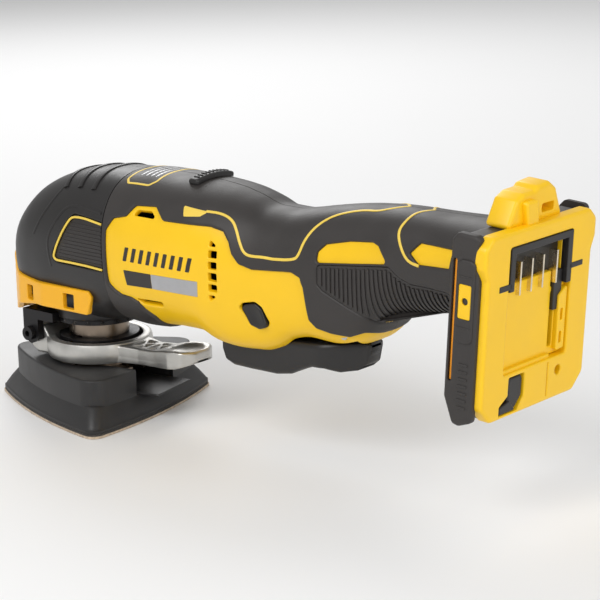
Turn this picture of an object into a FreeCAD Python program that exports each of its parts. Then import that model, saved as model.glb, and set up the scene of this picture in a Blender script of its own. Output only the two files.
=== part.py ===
import FreeCAD, Part
import math
import os

# Cordless oscillating multi-tool with a delta sanding pad, without its battery.
# Frame: millimetres, +Z up, origin on the output spindle's axis at the abrasive face,
# +X towards the battery foot. The tool's left side is -Y.

# ---------------------------------------------------------------- driving dimensions

# Lengths along the tool, each measured from the spindle's axis rearwards
head_front = 38.5            # spindle axis to the front of the head
head_length = 35.0           # spindle axis to the seam behind the head
barrel_length = 65.0         # head seam to the end of the motor barrel
waist_length = 40.0          # motor barrel to the hand grip
grip_length = 102.0          # hand grip, up to the battery foot

# Heights
motor_height = 86.0          # motor shaft above the abrasive face
barrel_top = 121.5           # crest of the barrel
barrel_bottom = 49.5         # keel of the barrel

# Half-widths
barrel_half_width = 31.4
waist_half_width = 24.6
grip_half_width = 20.4
head_half_width = 29.2

# Walls
rubber_skin = 1.2            # overmoulded rubber
shell_wall = 2.3             # glass-filled nylon clamshell
head_wall = 2.5
seam_gap = 0.4               # between the head cover and the clamshell

# Output spindle and clamp
spindle_seat_height = 22.0   # lower end of the spindle, on the pad's steel plate
spindle_foot_radius = 13.5
spindle_collar_radius = 14.5
spindle_lower_radius = 8.5
spindle_upper_radius = 7.5
spindle_top = 104.4
clamp_rod_radius = 4.0
clamp_flange_radius = 10.5
clamp_flange_thickness = 3.5
clamp_stroke = 3.0
running_clearance = 0.05
free_clearance = 0.4

# Lever
lever_pivot_x = -23.5
lever_pivot_z = 37.0
lever_ring_inner = 21.0
lever_ring_outer = 25.5
lever_reach = 68.0           # spindle axis to the tip of the lever
lever_bolt_radius = 2.2

# Motor
motor_shaft_radius = 4.0
motor_bearing_radius = 11.0
motor_bearing_width = 7.0
stator_radius = 23.0
stator_length = 24.0
rotor_radius = 12.0
fan_radius = 21.5
eccentricity = 0.53          # 1.6 degrees either way at the fork's 19 mm arm
eccentric_reach = 19.0       # spindle axis to the middle of the eccentric bearing
eccentric_bearing_radius = 8.0
fork_play = 1.6              # side play, so that fork and eccentric stay apart when posed alone

# Sanding pad
pad_corner_radius = 56.75    # pad centre to the tip of a corner
pad_turn = 10.8              # degrees the pad is set round the spindle
sheet_thickness = 1.0
hook_layer = 1.0
pad_flare_height = 13.0
pad_height = 25.0
pad_plate_thickness = 3.0
pad_mouth_half_width = 16.0

# Trigger and lock
trigger_half_width = 14.0
trigger_length = 79.0
trigger_slot_play = 0.5
trigger_swing_room = 2.2     # its front edge moves forward as it is pressed
trigger_pin_radius = 2.0
lock_radius = 4.5
lock_height = 67.0

control_height = 90.0        # underside of the control board

# Battery foot
foot_half_width = 37.0
bumper_thickness = 2.8
foot_thickness = 16.0
foot_bottom = 43.5
foot_top = 122.0
foot_plate = 5.0
foot_wall = 2.5
foot_lean = 4.17             # degrees, top to the rear

# ---------------------------------------------------------------- stations worked out

seam_x = head_length
barrel_end_x = seam_x + barrel_length
waist_end_x = barrel_end_x + waist_length
foot_x = waist_end_x + grip_length
foot_rear_x = foot_x + foot_thickness
trigger_x = barrel_end_x - 8.0
trigger_end_x = trigger_x + trigger_length
trigger_pivot_x = trigger_end_x - 5.0
trigger_pivot_z = 64.0

OUT = "parts"
HALF_POINTS = 10
SECTION_STEP = 10.0
X = FreeCAD.Vector(1, 0, 0)
Y = FreeCAD.Vector(0, 1, 0)
Z = FreeCAD.Vector(0, 0, 1)

os.makedirs(OUT, exist_ok=True)


# ---------------------------------------------------------------- helpers

def at(x, y, z):
    return FreeCAD.Vector(x, y, z)


def box(x0, x1, y0, y1, z0, z1):
    return Part.makeBox(x1 - x0, y1 - y0, z1 - z0, at(x0, y0, z0))


def rod(radius, length, start, direction=Z):
    return Part.makeCylinder(radius, length, start, direction)


def tube(outer, inner, length, start, direction=Z):
    return rod(outer, length, start, direction).cut(rod(inner, length, start, direction))


def joined(shapes):
    """One solid from several that overlap or touch."""
    body = shapes[0]
    for shape in shapes[1:]:
        body = body.fuse(shape)
    return body.removeSplitter()


def minus(body, *tools):
    for tool in tools:
        body = body.cut(tool)
    return body


def group(shapes):
    """Separate solids that share one node."""
    return Part.makeCompound(shapes)


def write(name, shape):
    solids = shape.Solids
    whole = solids[0] if len(solids) == 1 else Part.makeCompound(solids)
    whole.exportStep(os.path.join(OUT, name + ".step"))


def rounded_outline(corners, radius):
    """Closed wire in the XZ plane: straight sides joined by tangent arcs."""
    count = len(corners)
    edges = []
    ends = []
    for i in range(count):
        before = at(corners[i - 1][0], 0, corners[i - 1][1])
        here = at(corners[i][0], 0, corners[i][1])
        after = at(corners[(i + 1) % count][0], 0, corners[(i + 1) % count][1])
        to_before = before - here
        to_after = after - here
        half = to_before.getAngle(to_after) / 2
        shortest = min(to_before.Length, to_after.Length)
        cut_back = min(radius / math.tan(half), 0.45 * shortest)
        size = cut_back * math.tan(half)
        to_before.normalize()
        to_after.normalize()
        start = here + to_before * cut_back
        end = here + to_after * cut_back
        middle_way = to_before + to_after
        if middle_way.Length < 0.02 or size < 0.05:
            ends.append((here, here, None))
            continue
        middle_way.normalize()
        centre = here + middle_way * math.hypot(cut_back, size)
        ends.append((start, end, centre - middle_way * size))
    for i in range(count):
        start, end, middle = ends[i]
        next_start = ends[(i + 1) % count][0]
        if middle is not None:
            edges.append(Part.Arc(start, middle, end).toShape())
        if (next_start - end).Length > 1e-6:
            edges.append(Part.LineSegment(end, next_start).toShape())
    return Part.Wire(Part.__sortEdges__(edges))


def side_prism(corners, radius, y0, y1):
    """Side-view outline given thickness from y0 to y1."""
    face = Part.Face(rounded_outline(corners, radius))
    face.translate(at(0, y0, 0))
    return face.extrude(at(0, y1 - y0, 0))


def plan_prism(corners, radius, z0, z1):
    """Plan-view outline (x, y) given thickness from z0 to z1."""
    solid = side_prism(corners, radius, -z1, -z0)
    solid.rotate(at(0, 0, 0), X, -90)
    return solid.mirror(at(0, 0, 0), Y)


def mirrored(shape):
    return shape.mirror(at(0, 0, 0), Y)


def leaned(shape):
    """The battery foot leans, turning about its upper rear edge."""
    turned = shape.copy()
    turned.rotate(at(foot_rear_x, 0, foot_top), Y, foot_lean)
    return turned


# ---------------------------------------------------------------- the moulded skin

def housing_stations():
    """x, keel z, crest z, half-width, squareness of the lower half."""
    return (
        (seam_x - 5.0, barrel_bottom, barrel_top - 1.2, barrel_half_width - 0.7, 2.5),
        (seam_x + 13.0, barrel_bottom - 1.0, barrel_top + 0.2, barrel_half_width, 2.6),
        (seam_x + 34.0, barrel_bottom + 0.5, barrel_top - 0.2, barrel_half_width, 2.7),
        (seam_x + 50.0, barrel_bottom + 1.0, barrel_top - 1.2, barrel_half_width - 0.4, 3.0),
        (barrel_end_x - 3.0, barrel_bottom - 1.9, barrel_top - 2.5, barrel_half_width - 1.7, 3.6),
        (barrel_end_x + 8.0, barrel_bottom - 2.5, barrel_top - 5.0, waist_half_width + 3.4, 4.0),
        (barrel_end_x + 20.0, barrel_bottom - 2.0, barrel_top - 8.4, waist_half_width + 0.8, 4.0),
        (waist_end_x - 9.0, barrel_bottom + 1.5, barrel_top - 8.6, waist_half_width - 0.8, 4.0),
        (waist_end_x - 3.0, barrel_bottom + 5.6, barrel_top - 7.8, waist_half_width - 1.8, 4.0),
        (waist_end_x + 6.0, barrel_bottom + 7.3, barrel_top - 6.0, grip_half_width + 1.5, 4.0),
        (waist_end_x + 20.0, barrel_bottom + 6.2, barrel_top - 3.5, grip_half_width + 0.6, 3.8),
        (waist_end_x + 32.0, barrel_bottom + 8.6, barrel_top - 1.9, grip_half_width + 0.3, 3.6),
        (waist_end_x + 38.0, barrel_bottom + 12.4, barrel_top - 1.4, grip_half_width + 0.1, 3.2),
        (waist_end_x + 44.0, barrel_bottom + 20.6, barrel_top - 1.0, grip_half_width, 2.6),
        (waist_end_x + 54.0, barrel_bottom + 25.6, barrel_top - 0.8, grip_half_width, 2.3),
        (waist_end_x + 72.0, barrel_bottom + 28.8, barrel_top - 0.9, grip_half_width + 0.3, 2.3),
        (foot_x - 16.0, barrel_bottom + 31.5, barrel_top - 0.8, grip_half_width + 1.2, 2.3),
        (foot_x + 6.0, barrel_bottom + 33.5, barrel_top - 0.4, grip_half_width + 4.0, 2.5),
    )


def head_stations():
    """The same columns for the head, which domes over at the front."""
    return (
        (-head_front, 64.0, 88.0, 10.0, 2.4),
        (-head_front + 0.8, 60.0, 91.0, 15.0, 2.4),
        (-head_front + 2.5, 56.0, 94.0, 18.5, 2.4),
        (-head_front + 6.0, 52.0, 98.5, 21.8, 2.4),
        (-head_front + 12.0, 48.5, 104.5, 24.4, 2.5),
        (-head_front + 19.0, 47.0, 109.6, 26.3, 2.5),
        (-8.0, 46.0, 114.7, head_half_width - 1.0, 2.5),
        (5.0, 46.0, 118.3, head_half_width, 2.5),
        (19.0, 46.5, 120.0, head_half_width + 0.9, 2.5),
        (head_length - 7.0, 48.0, barrel_top - 0.9, barrel_half_width - 0.9, 2.5),
        (head_length, barrel_bottom + 1.5, barrel_top - 0.8, barrel_half_width - 0.6, 2.5),
    )


def smooth_value(stations, column, x):
    """Monotone cubic through one column of a station table."""
    xs = [row[0] for row in stations]
    ys = [row[column] for row in stations]
    last = len(xs) - 1
    x = min(max(x, xs[0]), xs[last])
    slopes = [(ys[i + 1] - ys[i]) / (xs[i + 1] - xs[i]) for i in range(last)]
    tangents = [slopes[0]]
    for i in range(1, last):
        if slopes[i - 1] * slopes[i] <= 0:
            tangents.append(0.0)
        else:
            tangents.append(2 * slopes[i - 1] * slopes[i] / (slopes[i - 1] + slopes[i]))
    tangents.append(slopes[-1])
    i = max(k for k in range(last) if xs[k] <= x)
    span = xs[i + 1] - xs[i]
    t = (x - xs[i]) / span
    start = (1 + 2 * t) * (1 - t) ** 2 * ys[i] + t * (1 - t) ** 2 * span * tangents[i]
    end = t * t * (3 - 2 * t) * ys[i + 1] + t * t * (t - 1) * span * tangents[i + 1]
    return start + end


UPPER_SQUARENESS = 2.4
WIDEST_SHARE = 0.52          # height of the widest point, as a share of the section


def half_section(stations, x, inset):
    """Left half of the skin's cross-section, set in by inset and closed on the middle plane."""
    bottom, top, half_width, lower = [smooth_value(stations, c, x) for c in (1, 2, 3, 4)]
    middle = bottom + WIDEST_SHARE * (top - bottom)
    points = []
    for i in range(HALF_POINTS + 1):
        angle = math.pi * (0.5 + i / HALF_POINTS)
        across = -math.cos(angle)
        up = math.sin(angle)
        power = UPPER_SQUARENESS if up >= 0 else lower
        reach = top - inset - middle if up >= 0 else middle - bottom - inset
        y = -abs(across) ** (2 / power) * (half_width - inset)
        z = middle + math.copysign(abs(up) ** (2 / power), up) * reach
        points.append(at(x, y, z))
    points[0].y = 0.0
    points[-1].y = 0.0
    curve = Part.BSplineCurve()
    curve.interpolate(Points=points, InitialTangent=at(0, -1, 0), FinalTangent=at(0, 1, 0))
    return Part.Wire([curve.toShape(), Part.LineSegment(points[-1], points[0]).toShape()])


def half_skin(stations, x0, x1, inset):
    """Left half of the long skin as a solid, through evenly spaced sections."""
    count = int(round((x1 - x0) / SECTION_STEP)) + 1
    xs = [x0 + (x1 - x0) * i / count for i in range(count + 1)]
    return Part.makeLoft([half_section(stations, x, inset) for x in xs], True, False)


def half_dome(x0, x1, inset):
    """Left half of the head, through its own stations, which crowd together at the front."""
    stations = head_stations()
    xs = [x0] + [row[0] for row in stations if x0 + 0.5 < row[0] < x1 - 0.5] + [x1]
    return Part.makeLoft([half_section(stations, x, inset) for x in xs], True, False)


# ---------------------------------------------------------------- clamshell and rubber

def yellow_panel():
    """Side-view outline of the bare nylon between the rubber areas, down to the keel."""
    front = seam_x + 2.5
    corners = (
        (front, 72.0), (front, 97.0), (front + 4.0, 103.0), (front + 11.0, 105.0),
        (front + 15.0, 109.7), (front + 29.0, 110.7), (front + 35.5, 105.2),
        (barrel_end_x, 105.5), (barrel_end_x + 8.5, 101.5), (barrel_end_x + 11.5, 94.5),
        (barrel_end_x + 16.0, 88.0), (waist_end_x, 89.5), (waist_end_x + 5.0, 88.0),
        (waist_end_x + 7.0, 84.0), (waist_end_x + 10.0, 68.5), (waist_end_x + 15.0, 65.3),
        (waist_end_x + 31.0, 63.8), (waist_end_x + 41.0, 67.5), (waist_end_x + 41.0, 40.0),
        (seam_x + 26.0, 40.0), (seam_x + 26.0, 57.0), (seam_x + 22.0, 60.5),
        (seam_x + 19.0, 64.5), (seam_x + 15.0, 66.0), (seam_x + 9.0, 66.8),
    )
    return side_prism(corners, 2.5, -60, 0)


def grip_window():
    """Bare nylon strip above the ribbed finger area."""
    start = waist_end_x + 15.0
    corners = (
        (start, 95.6), (start, 100.5), (start + 4.0, 104.2), (start + 17.0, 106.9),
        (start + 29.0, 108.1), (start + 32.5, 106.9), (start + 37.8, 99.7),
    )
    return side_prism(corners, 1.5, -60, 0)


def rear_window():
    """Bare nylon wedge in front of the battery foot."""
    end = foot_x - 15.0
    corners = (
        (end - 22.0, 106.7), (end - 17.0, 111.0), (end, 110.6),
        (end - 1.5, 102.5), (end - 16.0, 102.3),
    )
    return side_prism(corners, 1.0, -60, 0)


vent_column_x = barrel_end_x + 3.5
vent_pitch = 5.3
vent_width = 4.4
vent_height = 3.2
vent_count = 4


def vents():
    """Side vents: a column of slots, and one louvre above and one below it."""
    lowest = motor_height - 8.0
    cuts = []
    for i in range(vent_count):
        z = lowest + vent_pitch * i
        cuts.append(box(vent_column_x - vent_width / 2, vent_column_x + vent_width / 2,
                        -60, -15, z - vent_height / 2, z + vent_height / 2))
    cuts.append(box(seam_x + 18.0, seam_x + 30.0, -60, -15, motor_height + 19.5, motor_height + 21.7))
    cuts.append(box(seam_x + 18.0, seam_x + 34.0, -60, -15, motor_height - 22.4, motor_height - 20.4))
    return cuts


boss_radius = 4.2
screw_radius = 1.6
screw_head_radius = 2.9


def screw_places():
    return (
        (seam_x + 31.0, barrel_bottom + 7.4),
        (barrel_end_x + 6.0, motor_height + 21.0),
        (waist_end_x + 7.0, motor_height + 12.0),
        (waist_end_x + 15.0, motor_height - 16.0),
        (waist_end_x + 56.0, motor_height + 24.0),
        (foot_x - 17.0, motor_height + 24.0),
    )


def shell_half_width(x, z):
    """Half-width of the skin at a side-view point."""
    stations = housing_stations()
    bottom, top, half_width, lower = [smooth_value(stations, c, x) for c in (1, 2, 3, 4)]
    middle = bottom + WIDEST_SHARE * (top - bottom)
    power = UPPER_SQUARENESS if z >= middle else lower
    reach = top - middle if z >= middle else middle - bottom
    share = min(1.0, abs(z - middle) / reach)
    return half_width * (1 - share ** power) ** (1 / power)


def screw_depth(x, z):
    """Distance from the parting plane to the seat of a screw's head."""
    nearest = min(shell_half_width(x, z + side * boss_radius) for side in (-1, 1))
    return nearest - rubber_skin - 5.0


def trigger_pin():
    """Pin across the clamshell, held in a blind hole in each half."""
    reach = shell_half_width(trigger_pivot_x, trigger_pivot_z) - rubber_skin - 0.9
    return rod(trigger_pin_radius, 2 * reach, at(trigger_pivot_x, -reach, trigger_pivot_z), Y)


def make_clamshell():
    stations = housing_stations()
    front = seam_x + seam_gap
    rear = foot_x + 4.0
    inset = rubber_skin + shell_wall
    foot_space = leaned(box(foot_x, foot_x + 60, -60, 60, 0, 200))
    outer = half_skin(stations, front, rear, 0.0)
    under_rubber = half_skin(stations, front, rear, rubber_skin)
    inner = half_skin(stations, seam_x - 4.0, rear + 2.0, inset)
    panels = [yellow_panel(), grip_window(), rear_window()]
    trigger_slot = box(trigger_x - trigger_slot_play - trigger_swing_room, trigger_end_x + trigger_slot_play,
                       -trigger_half_width - trigger_slot_play, 20, 30, trigger_pivot_z)
    lock_hole = rod(lock_radius + trigger_slot_play, 60, at(barrel_end_x + 21.0, -60, lock_height), Y)
    slot_reach = selector_stem_half + crown_radius * math.radians(selector_turn) + 0.6
    selector_slot = box(selector_x0 + 1.0, selector_x1 - 1.0, -slot_reach, 1, motor_height + 20, 140)

    shell = minus(under_rubber, inner, foot_space, trigger_slot, lock_hole, selector_slot, trigger_pin(), *vents())
    rubber = minus(outer, under_rubber, foot_space, trigger_slot, selector_slot, *panels)

    left_bosses = []
    right_bosses = []
    right_bores = []
    screws = []
    for x, z in screw_places():
        reach = min(shell_half_width(x, z + side * boss_radius) for side in (-1, 1)) - inset + 0.5
        head_y = screw_depth(x, z)
        left_bosses.append(rod(boss_radius, reach, at(x, -reach, z), Y)
                           .cut(rod(screw_radius, 9.0, at(x, -9.0, z), Y)))
        right_bosses.append(rod(boss_radius, reach, at(x, 0, z), Y))
        right_bores.append(rod(screw_radius, reach, at(x, 0, z), Y))
        right_bores.append(rod(screw_head_radius + 0.2, 40, at(x, head_y, z), Y))
        shank = rod(screw_radius, head_y + 9.0, at(x, -9.0, z), Y)
        head = rod(screw_head_radius, 2.4, at(x, head_y, z), Y)
        socket = rod(1.4, 1.6, at(x, head_y + 0.8, z), Y)
        screws.append(shank.fuse(head).cut(socket))
    left = shell.fuse(left_bosses)
    right = minus(mirrored(shell).fuse(right_bosses), *right_bores)
    write("left_housing", left)
    write("right_housing", right)
    write("left_grip_rubber", rubber)
    write("right_grip_rubber", minus(mirrored(rubber), *right_bores))
    write("housing_screws", group(screws))


# ---------------------------------------------------------------- head, gear case, light

gear_case_radius = 20.0
gear_case_bore = 17.0
gear_case_top = 107.0
gear_case_neck_top = 98.0
neck_radius = 19.0
neck_bottom = 44.2
lower_bearing = (48.5, 7.0, 15.0)      # z, width, outer radius
upper_bearing = (97.0, 7.0, 14.0)
tunnel_radius = 25.0
tunnel_bore = 21.5
tunnel_end = seam_x + 1.0
lug_inner = 19.6
lug_outer = 23.2


def lever_lugs():
    lugs = []
    for side in (-1, 1):
        y0, y1 = sorted((side * lug_inner, side * lug_outer))
        lugs.append(side_prism(((lever_pivot_x - 5, 48.7), (lever_pivot_x - 5, 34.0),
                                (lever_pivot_x, 31.5), (lever_pivot_x + 5, 34.0),
                                (lever_pivot_x + 5, 48.7)), 2.0, y0, y1))
    return lugs


def make_gear_case():
    """Cast case that carries the spindle's bearings, the lever's lugs and the motor."""
    top_z, top_width, top_radius = upper_bearing
    crown_radius = top_radius + 3.5
    cup = joined([
        rod(gear_case_radius, gear_case_neck_top - neck_bottom, at(0, 0, neck_bottom)),
        Part.makeCone(gear_case_radius, crown_radius, 2.0, at(0, 0, gear_case_neck_top), Z),
        rod(crown_radius, gear_case_top - gear_case_neck_top, at(0, 0, gear_case_neck_top)),
    ])
    tunnel = rod(tunnel_radius, tunnel_end, at(0, 0, motor_height), X)
    web = box(lever_pivot_x - 5, -8, -lug_outer, lug_outer, neck_bottom, 48.7)
    body = joined([cup, tunnel, web] + lever_lugs())
    bottom_z, bottom_width, bottom_radius = lower_bearing
    ceiling = top_z - 1.2
    cavity = rod(gear_case_bore, ceiling - (bottom_z + bottom_width + 3),
                 at(0, 0, bottom_z + bottom_width + 3))
    tunnel_cavity = rod(tunnel_bore, tunnel_end + 5, at(-2, 0, motor_height), X)
    tunnel_cavity = tunnel_cavity.cut(rod(gear_case_radius, 40, at(0, 0, ceiling)))
    body = minus(
        body, cavity, tunnel_cavity,
        rod(bottom_radius, bottom_width, at(0, 0, bottom_z)),
        rod(bottom_radius - 2.5, 40, at(0, 0, bottom_z - 20)),
        rod(bottom_radius - 2.0, 10, at(0, 0, bottom_z + bottom_width - 1)),
        rod(top_radius, top_width, at(0, 0, top_z)),
        rod(top_radius - 3.0, top_width + 5, at(0, 0, top_z - 4)),
    )
    bolt_hole = rod(lever_bolt_radius + running_clearance, 80, at(lever_pivot_x, -40, lever_pivot_z), Y)
    body = body.cut(bolt_hole)
    write("gear_case", body)
    return joined([cup, tunnel, web] + lever_lugs())


def make_head_cover(gear_case_envelope):
    outer = half_dome(-head_front, head_length, 0.0)
    inner = half_dome(-head_front + head_wall, head_length + 4.0, head_wall)
    half = outer.cut(inner)
    cover = half.fuse(mirrored(half))
    lever_room = box(lever_pivot_x - 8, lever_pivot_x + 8, -lug_outer - 0.6, lug_outer + 0.6, 20, 50)
    cover = minus(cover, gear_case_envelope, rod(neck_radius + 2.0, 12, at(0, 0, 40)),
                  lever_room)
    write("head_cover", cover)


bracket_bottom = 50.0
bracket_top = 66.0
bracket_wall = 2.6
bracket_half_width = 29.0


def bracket_plan(grow):
    half = bracket_half_width + grow
    front = head_front + 4.0 + grow
    return ((29.0, half), (-9.0, half), (-29.0, 24.5 + grow), (-front, 14.0 + grow * 0.6),
            (-front, -14.0 - grow * 0.6), (-29.0, -24.5 - grow), (-9.0, -half), (29.0, -half))


def make_light_bracket(gear_case_envelope):
    """Guard round the lower head: two windows each side for a depth guide, and the light."""
    outside = plan_prism(bracket_plan(0.0), 4.0, bracket_bottom, bracket_top)
    inside = plan_prism(bracket_plan(-bracket_wall), 3.0, bracket_bottom - 1, bracket_top + 1)
    inside = inside.fuse(box(20, 60, -bracket_half_width + bracket_wall,
                             bracket_half_width - bracket_wall, bracket_bottom - 1, bracket_top + 1))
    band = outside.cut(inside)
    front = -head_front - 4.0
    nose = box(front, front + 12.0, -13.0, 13.0, neck_bottom + 0.6, bracket_top)
    strip = box(front, front + 6.0, -9.0, 9.0, bracket_top - 1, bracket_top + 9.0)
    clear_half = half_dome(-head_front, head_length, 0.0)
    clear_head = clear_half.fuse(mirrored(clear_half))
    body = joined([band, nose, strip])
    windows = []
    for x0, x1 in ((8.0, 15.0), (-19.5, -14.0)):
        windows.append(box(x0, x1, -60, 60, 54.5, 62.5))
    lamp_hole = box(front + 1.5, front + 8.0, -8.0, 8.0, neck_bottom - 5, neck_bottom + 6.0)
    body = minus(body, clear_head, gear_case_envelope, lamp_hole, *windows)
    largest = max(body.Solids, key=lambda solid: solid.Volume)
    write("light_bracket", largest)
    write("work_light_lens", box(front + 1.5, front + 8.0, -8.0, 8.0, neck_bottom + 0.6, neck_bottom + 3.0))
    write("work_light_board", box(front + 1.5, front + 8.0, -8.0, 8.0, neck_bottom + 3.0, neck_bottom + 4.6))


# ---------------------------------------------------------------- spindle, fork and clamp

collar_bottom = 37.5
collar_top = 43.4
spring_shoulder = 64.0
clamp_nut_bottom = 94.0
fork_bottom = motor_height - 6.0
fork_top = motor_height + 6.0
release_ring_bottom = 32.6
release_ring_thickness = 4.0
release_pin_radius = 1.3


def make_output():
    bottom_z, bottom_width, bottom_radius = lower_bearing
    top_z, top_width, top_radius = upper_bearing
    foot = rod(spindle_foot_radius, collar_bottom - spindle_seat_height, at(0, 0, spindle_seat_height))
    collar = rod(spindle_collar_radius, collar_top - collar_bottom, at(0, 0, collar_bottom))
    lower = rod(spindle_lower_radius, 60.0 - collar_top, at(0, 0, collar_top))
    upper = rod(spindle_upper_radius, spindle_top - 60.0, at(0, 0, 60.0))
    spindle = joined([foot, collar, lower, upper])
    pin_slot_height = release_ring_thickness + clamp_stroke + 0.8
    spindle = minus(
        spindle,
        rod(clamp_rod_radius + running_clearance, 120, at(0, 0, 0)),
        rod(spindle_upper_radius - 1.7, 60, at(0, 0, spring_shoulder)),
        box(-release_pin_radius - 0.2, release_pin_radius + 0.2, -20, 20,
            release_ring_bottom - clamp_stroke - 0.2,
            release_ring_bottom - clamp_stroke - 0.2 + pin_slot_height),
    )
    write("spindle", spindle)

    write("spindle_lower_bearing", tube(bottom_radius, spindle_lower_radius + running_clearance,
                                        bottom_width, at(0, 0, bottom_z)))
    write("spindle_upper_bearing", tube(top_radius, spindle_upper_radius + running_clearance,
                                        top_width, at(0, 0, top_z)))
    write("dust_seal", tube(bottom_radius - 2.5, spindle_lower_radius + 0.3, 3.0,
                            at(0, 0, neck_bottom + 0.4)))

    hub = rod(13.0, fork_top - fork_bottom, at(0, 0, fork_bottom))
    slot_half = eccentric_bearing_radius + fork_play
    arm_end = eccentric_reach + 6.0
    arms = box(0, arm_end, -slot_half - 4.0, slot_half + 4.0, fork_bottom, fork_top)
    fork = joined([hub, arms])
    fork = minus(fork,
                 box(14.0, arm_end + 1, -slot_half, slot_half, fork_bottom - 1, fork_top + 1),
                 rod(spindle_upper_radius, 40, at(0, 0, fork_bottom - 10)))
    write("output_fork", fork)


def make_clamp():
    flange_top = spindle_seat_height - pad_plate_thickness
    flange_bottom = flange_top - clamp_flange_thickness
    rod_top = clamp_nut_bottom + 4.0
    clamp_rod = rod(clamp_rod_radius, rod_top - flange_bottom + 1.0, at(0, 0, flange_bottom - 1.0))
    pin_hole = rod(release_pin_radius, 60, at(0, -30, release_ring_bottom + release_ring_thickness / 2), Y)
    write("clamp_rod", clamp_rod.cut(pin_hole))
    flange = tube(clamp_flange_radius, clamp_rod_radius, clamp_flange_thickness, at(0, 0, flange_bottom))
    write("clamp_flange", flange)
    nut = tube(5.4, clamp_rod_radius, 4.0, at(0, 0, clamp_nut_bottom))
    write("clamp_nut", nut)
    ring = tube(19.3, spindle_foot_radius + 0.3, release_ring_thickness, at(0, 0, release_ring_bottom))
    write("release_ring", ring.cut(pin_hole))
    pin = rod(release_pin_radius, 2 * 17.5, at(0, -17.5, release_ring_bottom + release_ring_thickness / 2), Y)
    write("release_pin", pin)

    # Disc springs, stacked face to face in pairs between the spindle's shoulder and the nut.
    discs = []
    disc_count = 12
    room = clamp_nut_bottom - spring_shoulder
    pitch = room / disc_count
    for i in range(disc_count):
        low = spring_shoulder + pitch * i
        wide_first = i % 2 == 0
        radii = (5.5, 4.9) if wide_first else (4.9, 5.5)
        cone = Part.makeCone(radii[0], radii[1], pitch, at(0, 0, low), Z)
        discs.append(cone.cut(rod(clamp_rod_radius + 0.15, pitch + 2, at(0, 0, low - 1))))
    write("clamp_spring", joined(discs))


# ---------------------------------------------------------------- clamp lever

lever_top = 36.0
lever_bottom = 26.0
lever_arm_half = 8.0


def make_lever():
    ring = rod(lever_ring_outer, lever_top - lever_bottom, at(0, 0, lever_bottom))
    bar_half = lug_inner - free_clearance
    front = side_prism(((lever_pivot_x - 4.6, lever_pivot_z + 3.5), (lever_pivot_x + 4.0, lever_pivot_z + 3.5),
                        (lever_pivot_x + 9.0, lever_bottom), (lever_pivot_x - 4.6, lever_bottom + 3.0)),
                       2.0, -bar_half, bar_half)
    arm = side_prism(((18.0, lever_bottom + 1.5), (40.0, lever_bottom + 1.0), (58.0, 29.0), (lever_reach, 33.0),
                      (lever_reach, 37.5), (52.0, 38.0), (40.0, 36.0), (18.0, lever_top)),
                     2.0, -14, 14)
    plan = plan_prism(((16.0, -11.5), (32.0, -lever_arm_half), (48.0, -lever_arm_half - 1.5),
                       (58.0, -11.5), (lever_reach, -8.0), (lever_reach, 8.0), (58.0, 11.5),
                       (48.0, lever_arm_half + 1.5), (32.0, lever_arm_half), (16.0, 11.5)),
                      5.0, 0, 80)
    arm = arm.common(plan)
    body = joined([ring, front, arm])
    dish = Part.makeSphere(26.0, at(57.5, 0, 59.6))
    cell = box(28.0, 45.0, -lever_arm_half + 2.6, lever_arm_half - 2.6, lever_bottom + 5.0, 60)
    bolt_hole = rod(lever_bolt_radius + running_clearance, 80, at(lever_pivot_x, -40, lever_pivot_z), Y)
    spring_room = box(lever_pivot_x - 8, lever_pivot_x + 5.2, -5.5, 5.5, lever_bottom - 1, 60)
    body = minus(body, rod(lever_ring_inner, 40, at(0, 0, 20)), dish, cell, bolt_hole, spring_room)
    write("clamp_lever", body)
    bolt = joined([rod(lever_bolt_radius, 2 * lug_outer + 1.0, at(lever_pivot_x, -lug_outer - 1.0, lever_pivot_z), Y),
                   rod(lever_bolt_radius + 1.2, 2.4, at(lever_pivot_x, -lug_outer - 2.6, lever_pivot_z), Y)])
    bolt = bolt.cut(rod(1.5, 1.8, at(lever_pivot_x, -lug_outer - 2.7, lever_pivot_z), Y))
    write("lever_pivot_bolt", bolt)
    # Torsion spring, close wound on the bolt between the lever's two ears.
    coils = []
    for i in range(5):
        y = -3.6 + 1.8 * i
        coil = Part.makeTorus(lever_bolt_radius + 0.85, 0.7, at(lever_pivot_x, y, lever_pivot_z), Y)
        coils.append(coil)
    write("lever_spring", group(coils))


# ---------------------------------------------------------------- motor

front_bearing_x = seam_x + 1.5
fan_x = front_bearing_x + motor_bearing_width + 3.0
stator_x = fan_x + 13.0
stator_end_x = stator_x + stator_length
rear_bearing_x = stator_end_x + 5.0
bracket_radius = barrel_half_width - rubber_skin - shell_wall - 1.2


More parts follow.
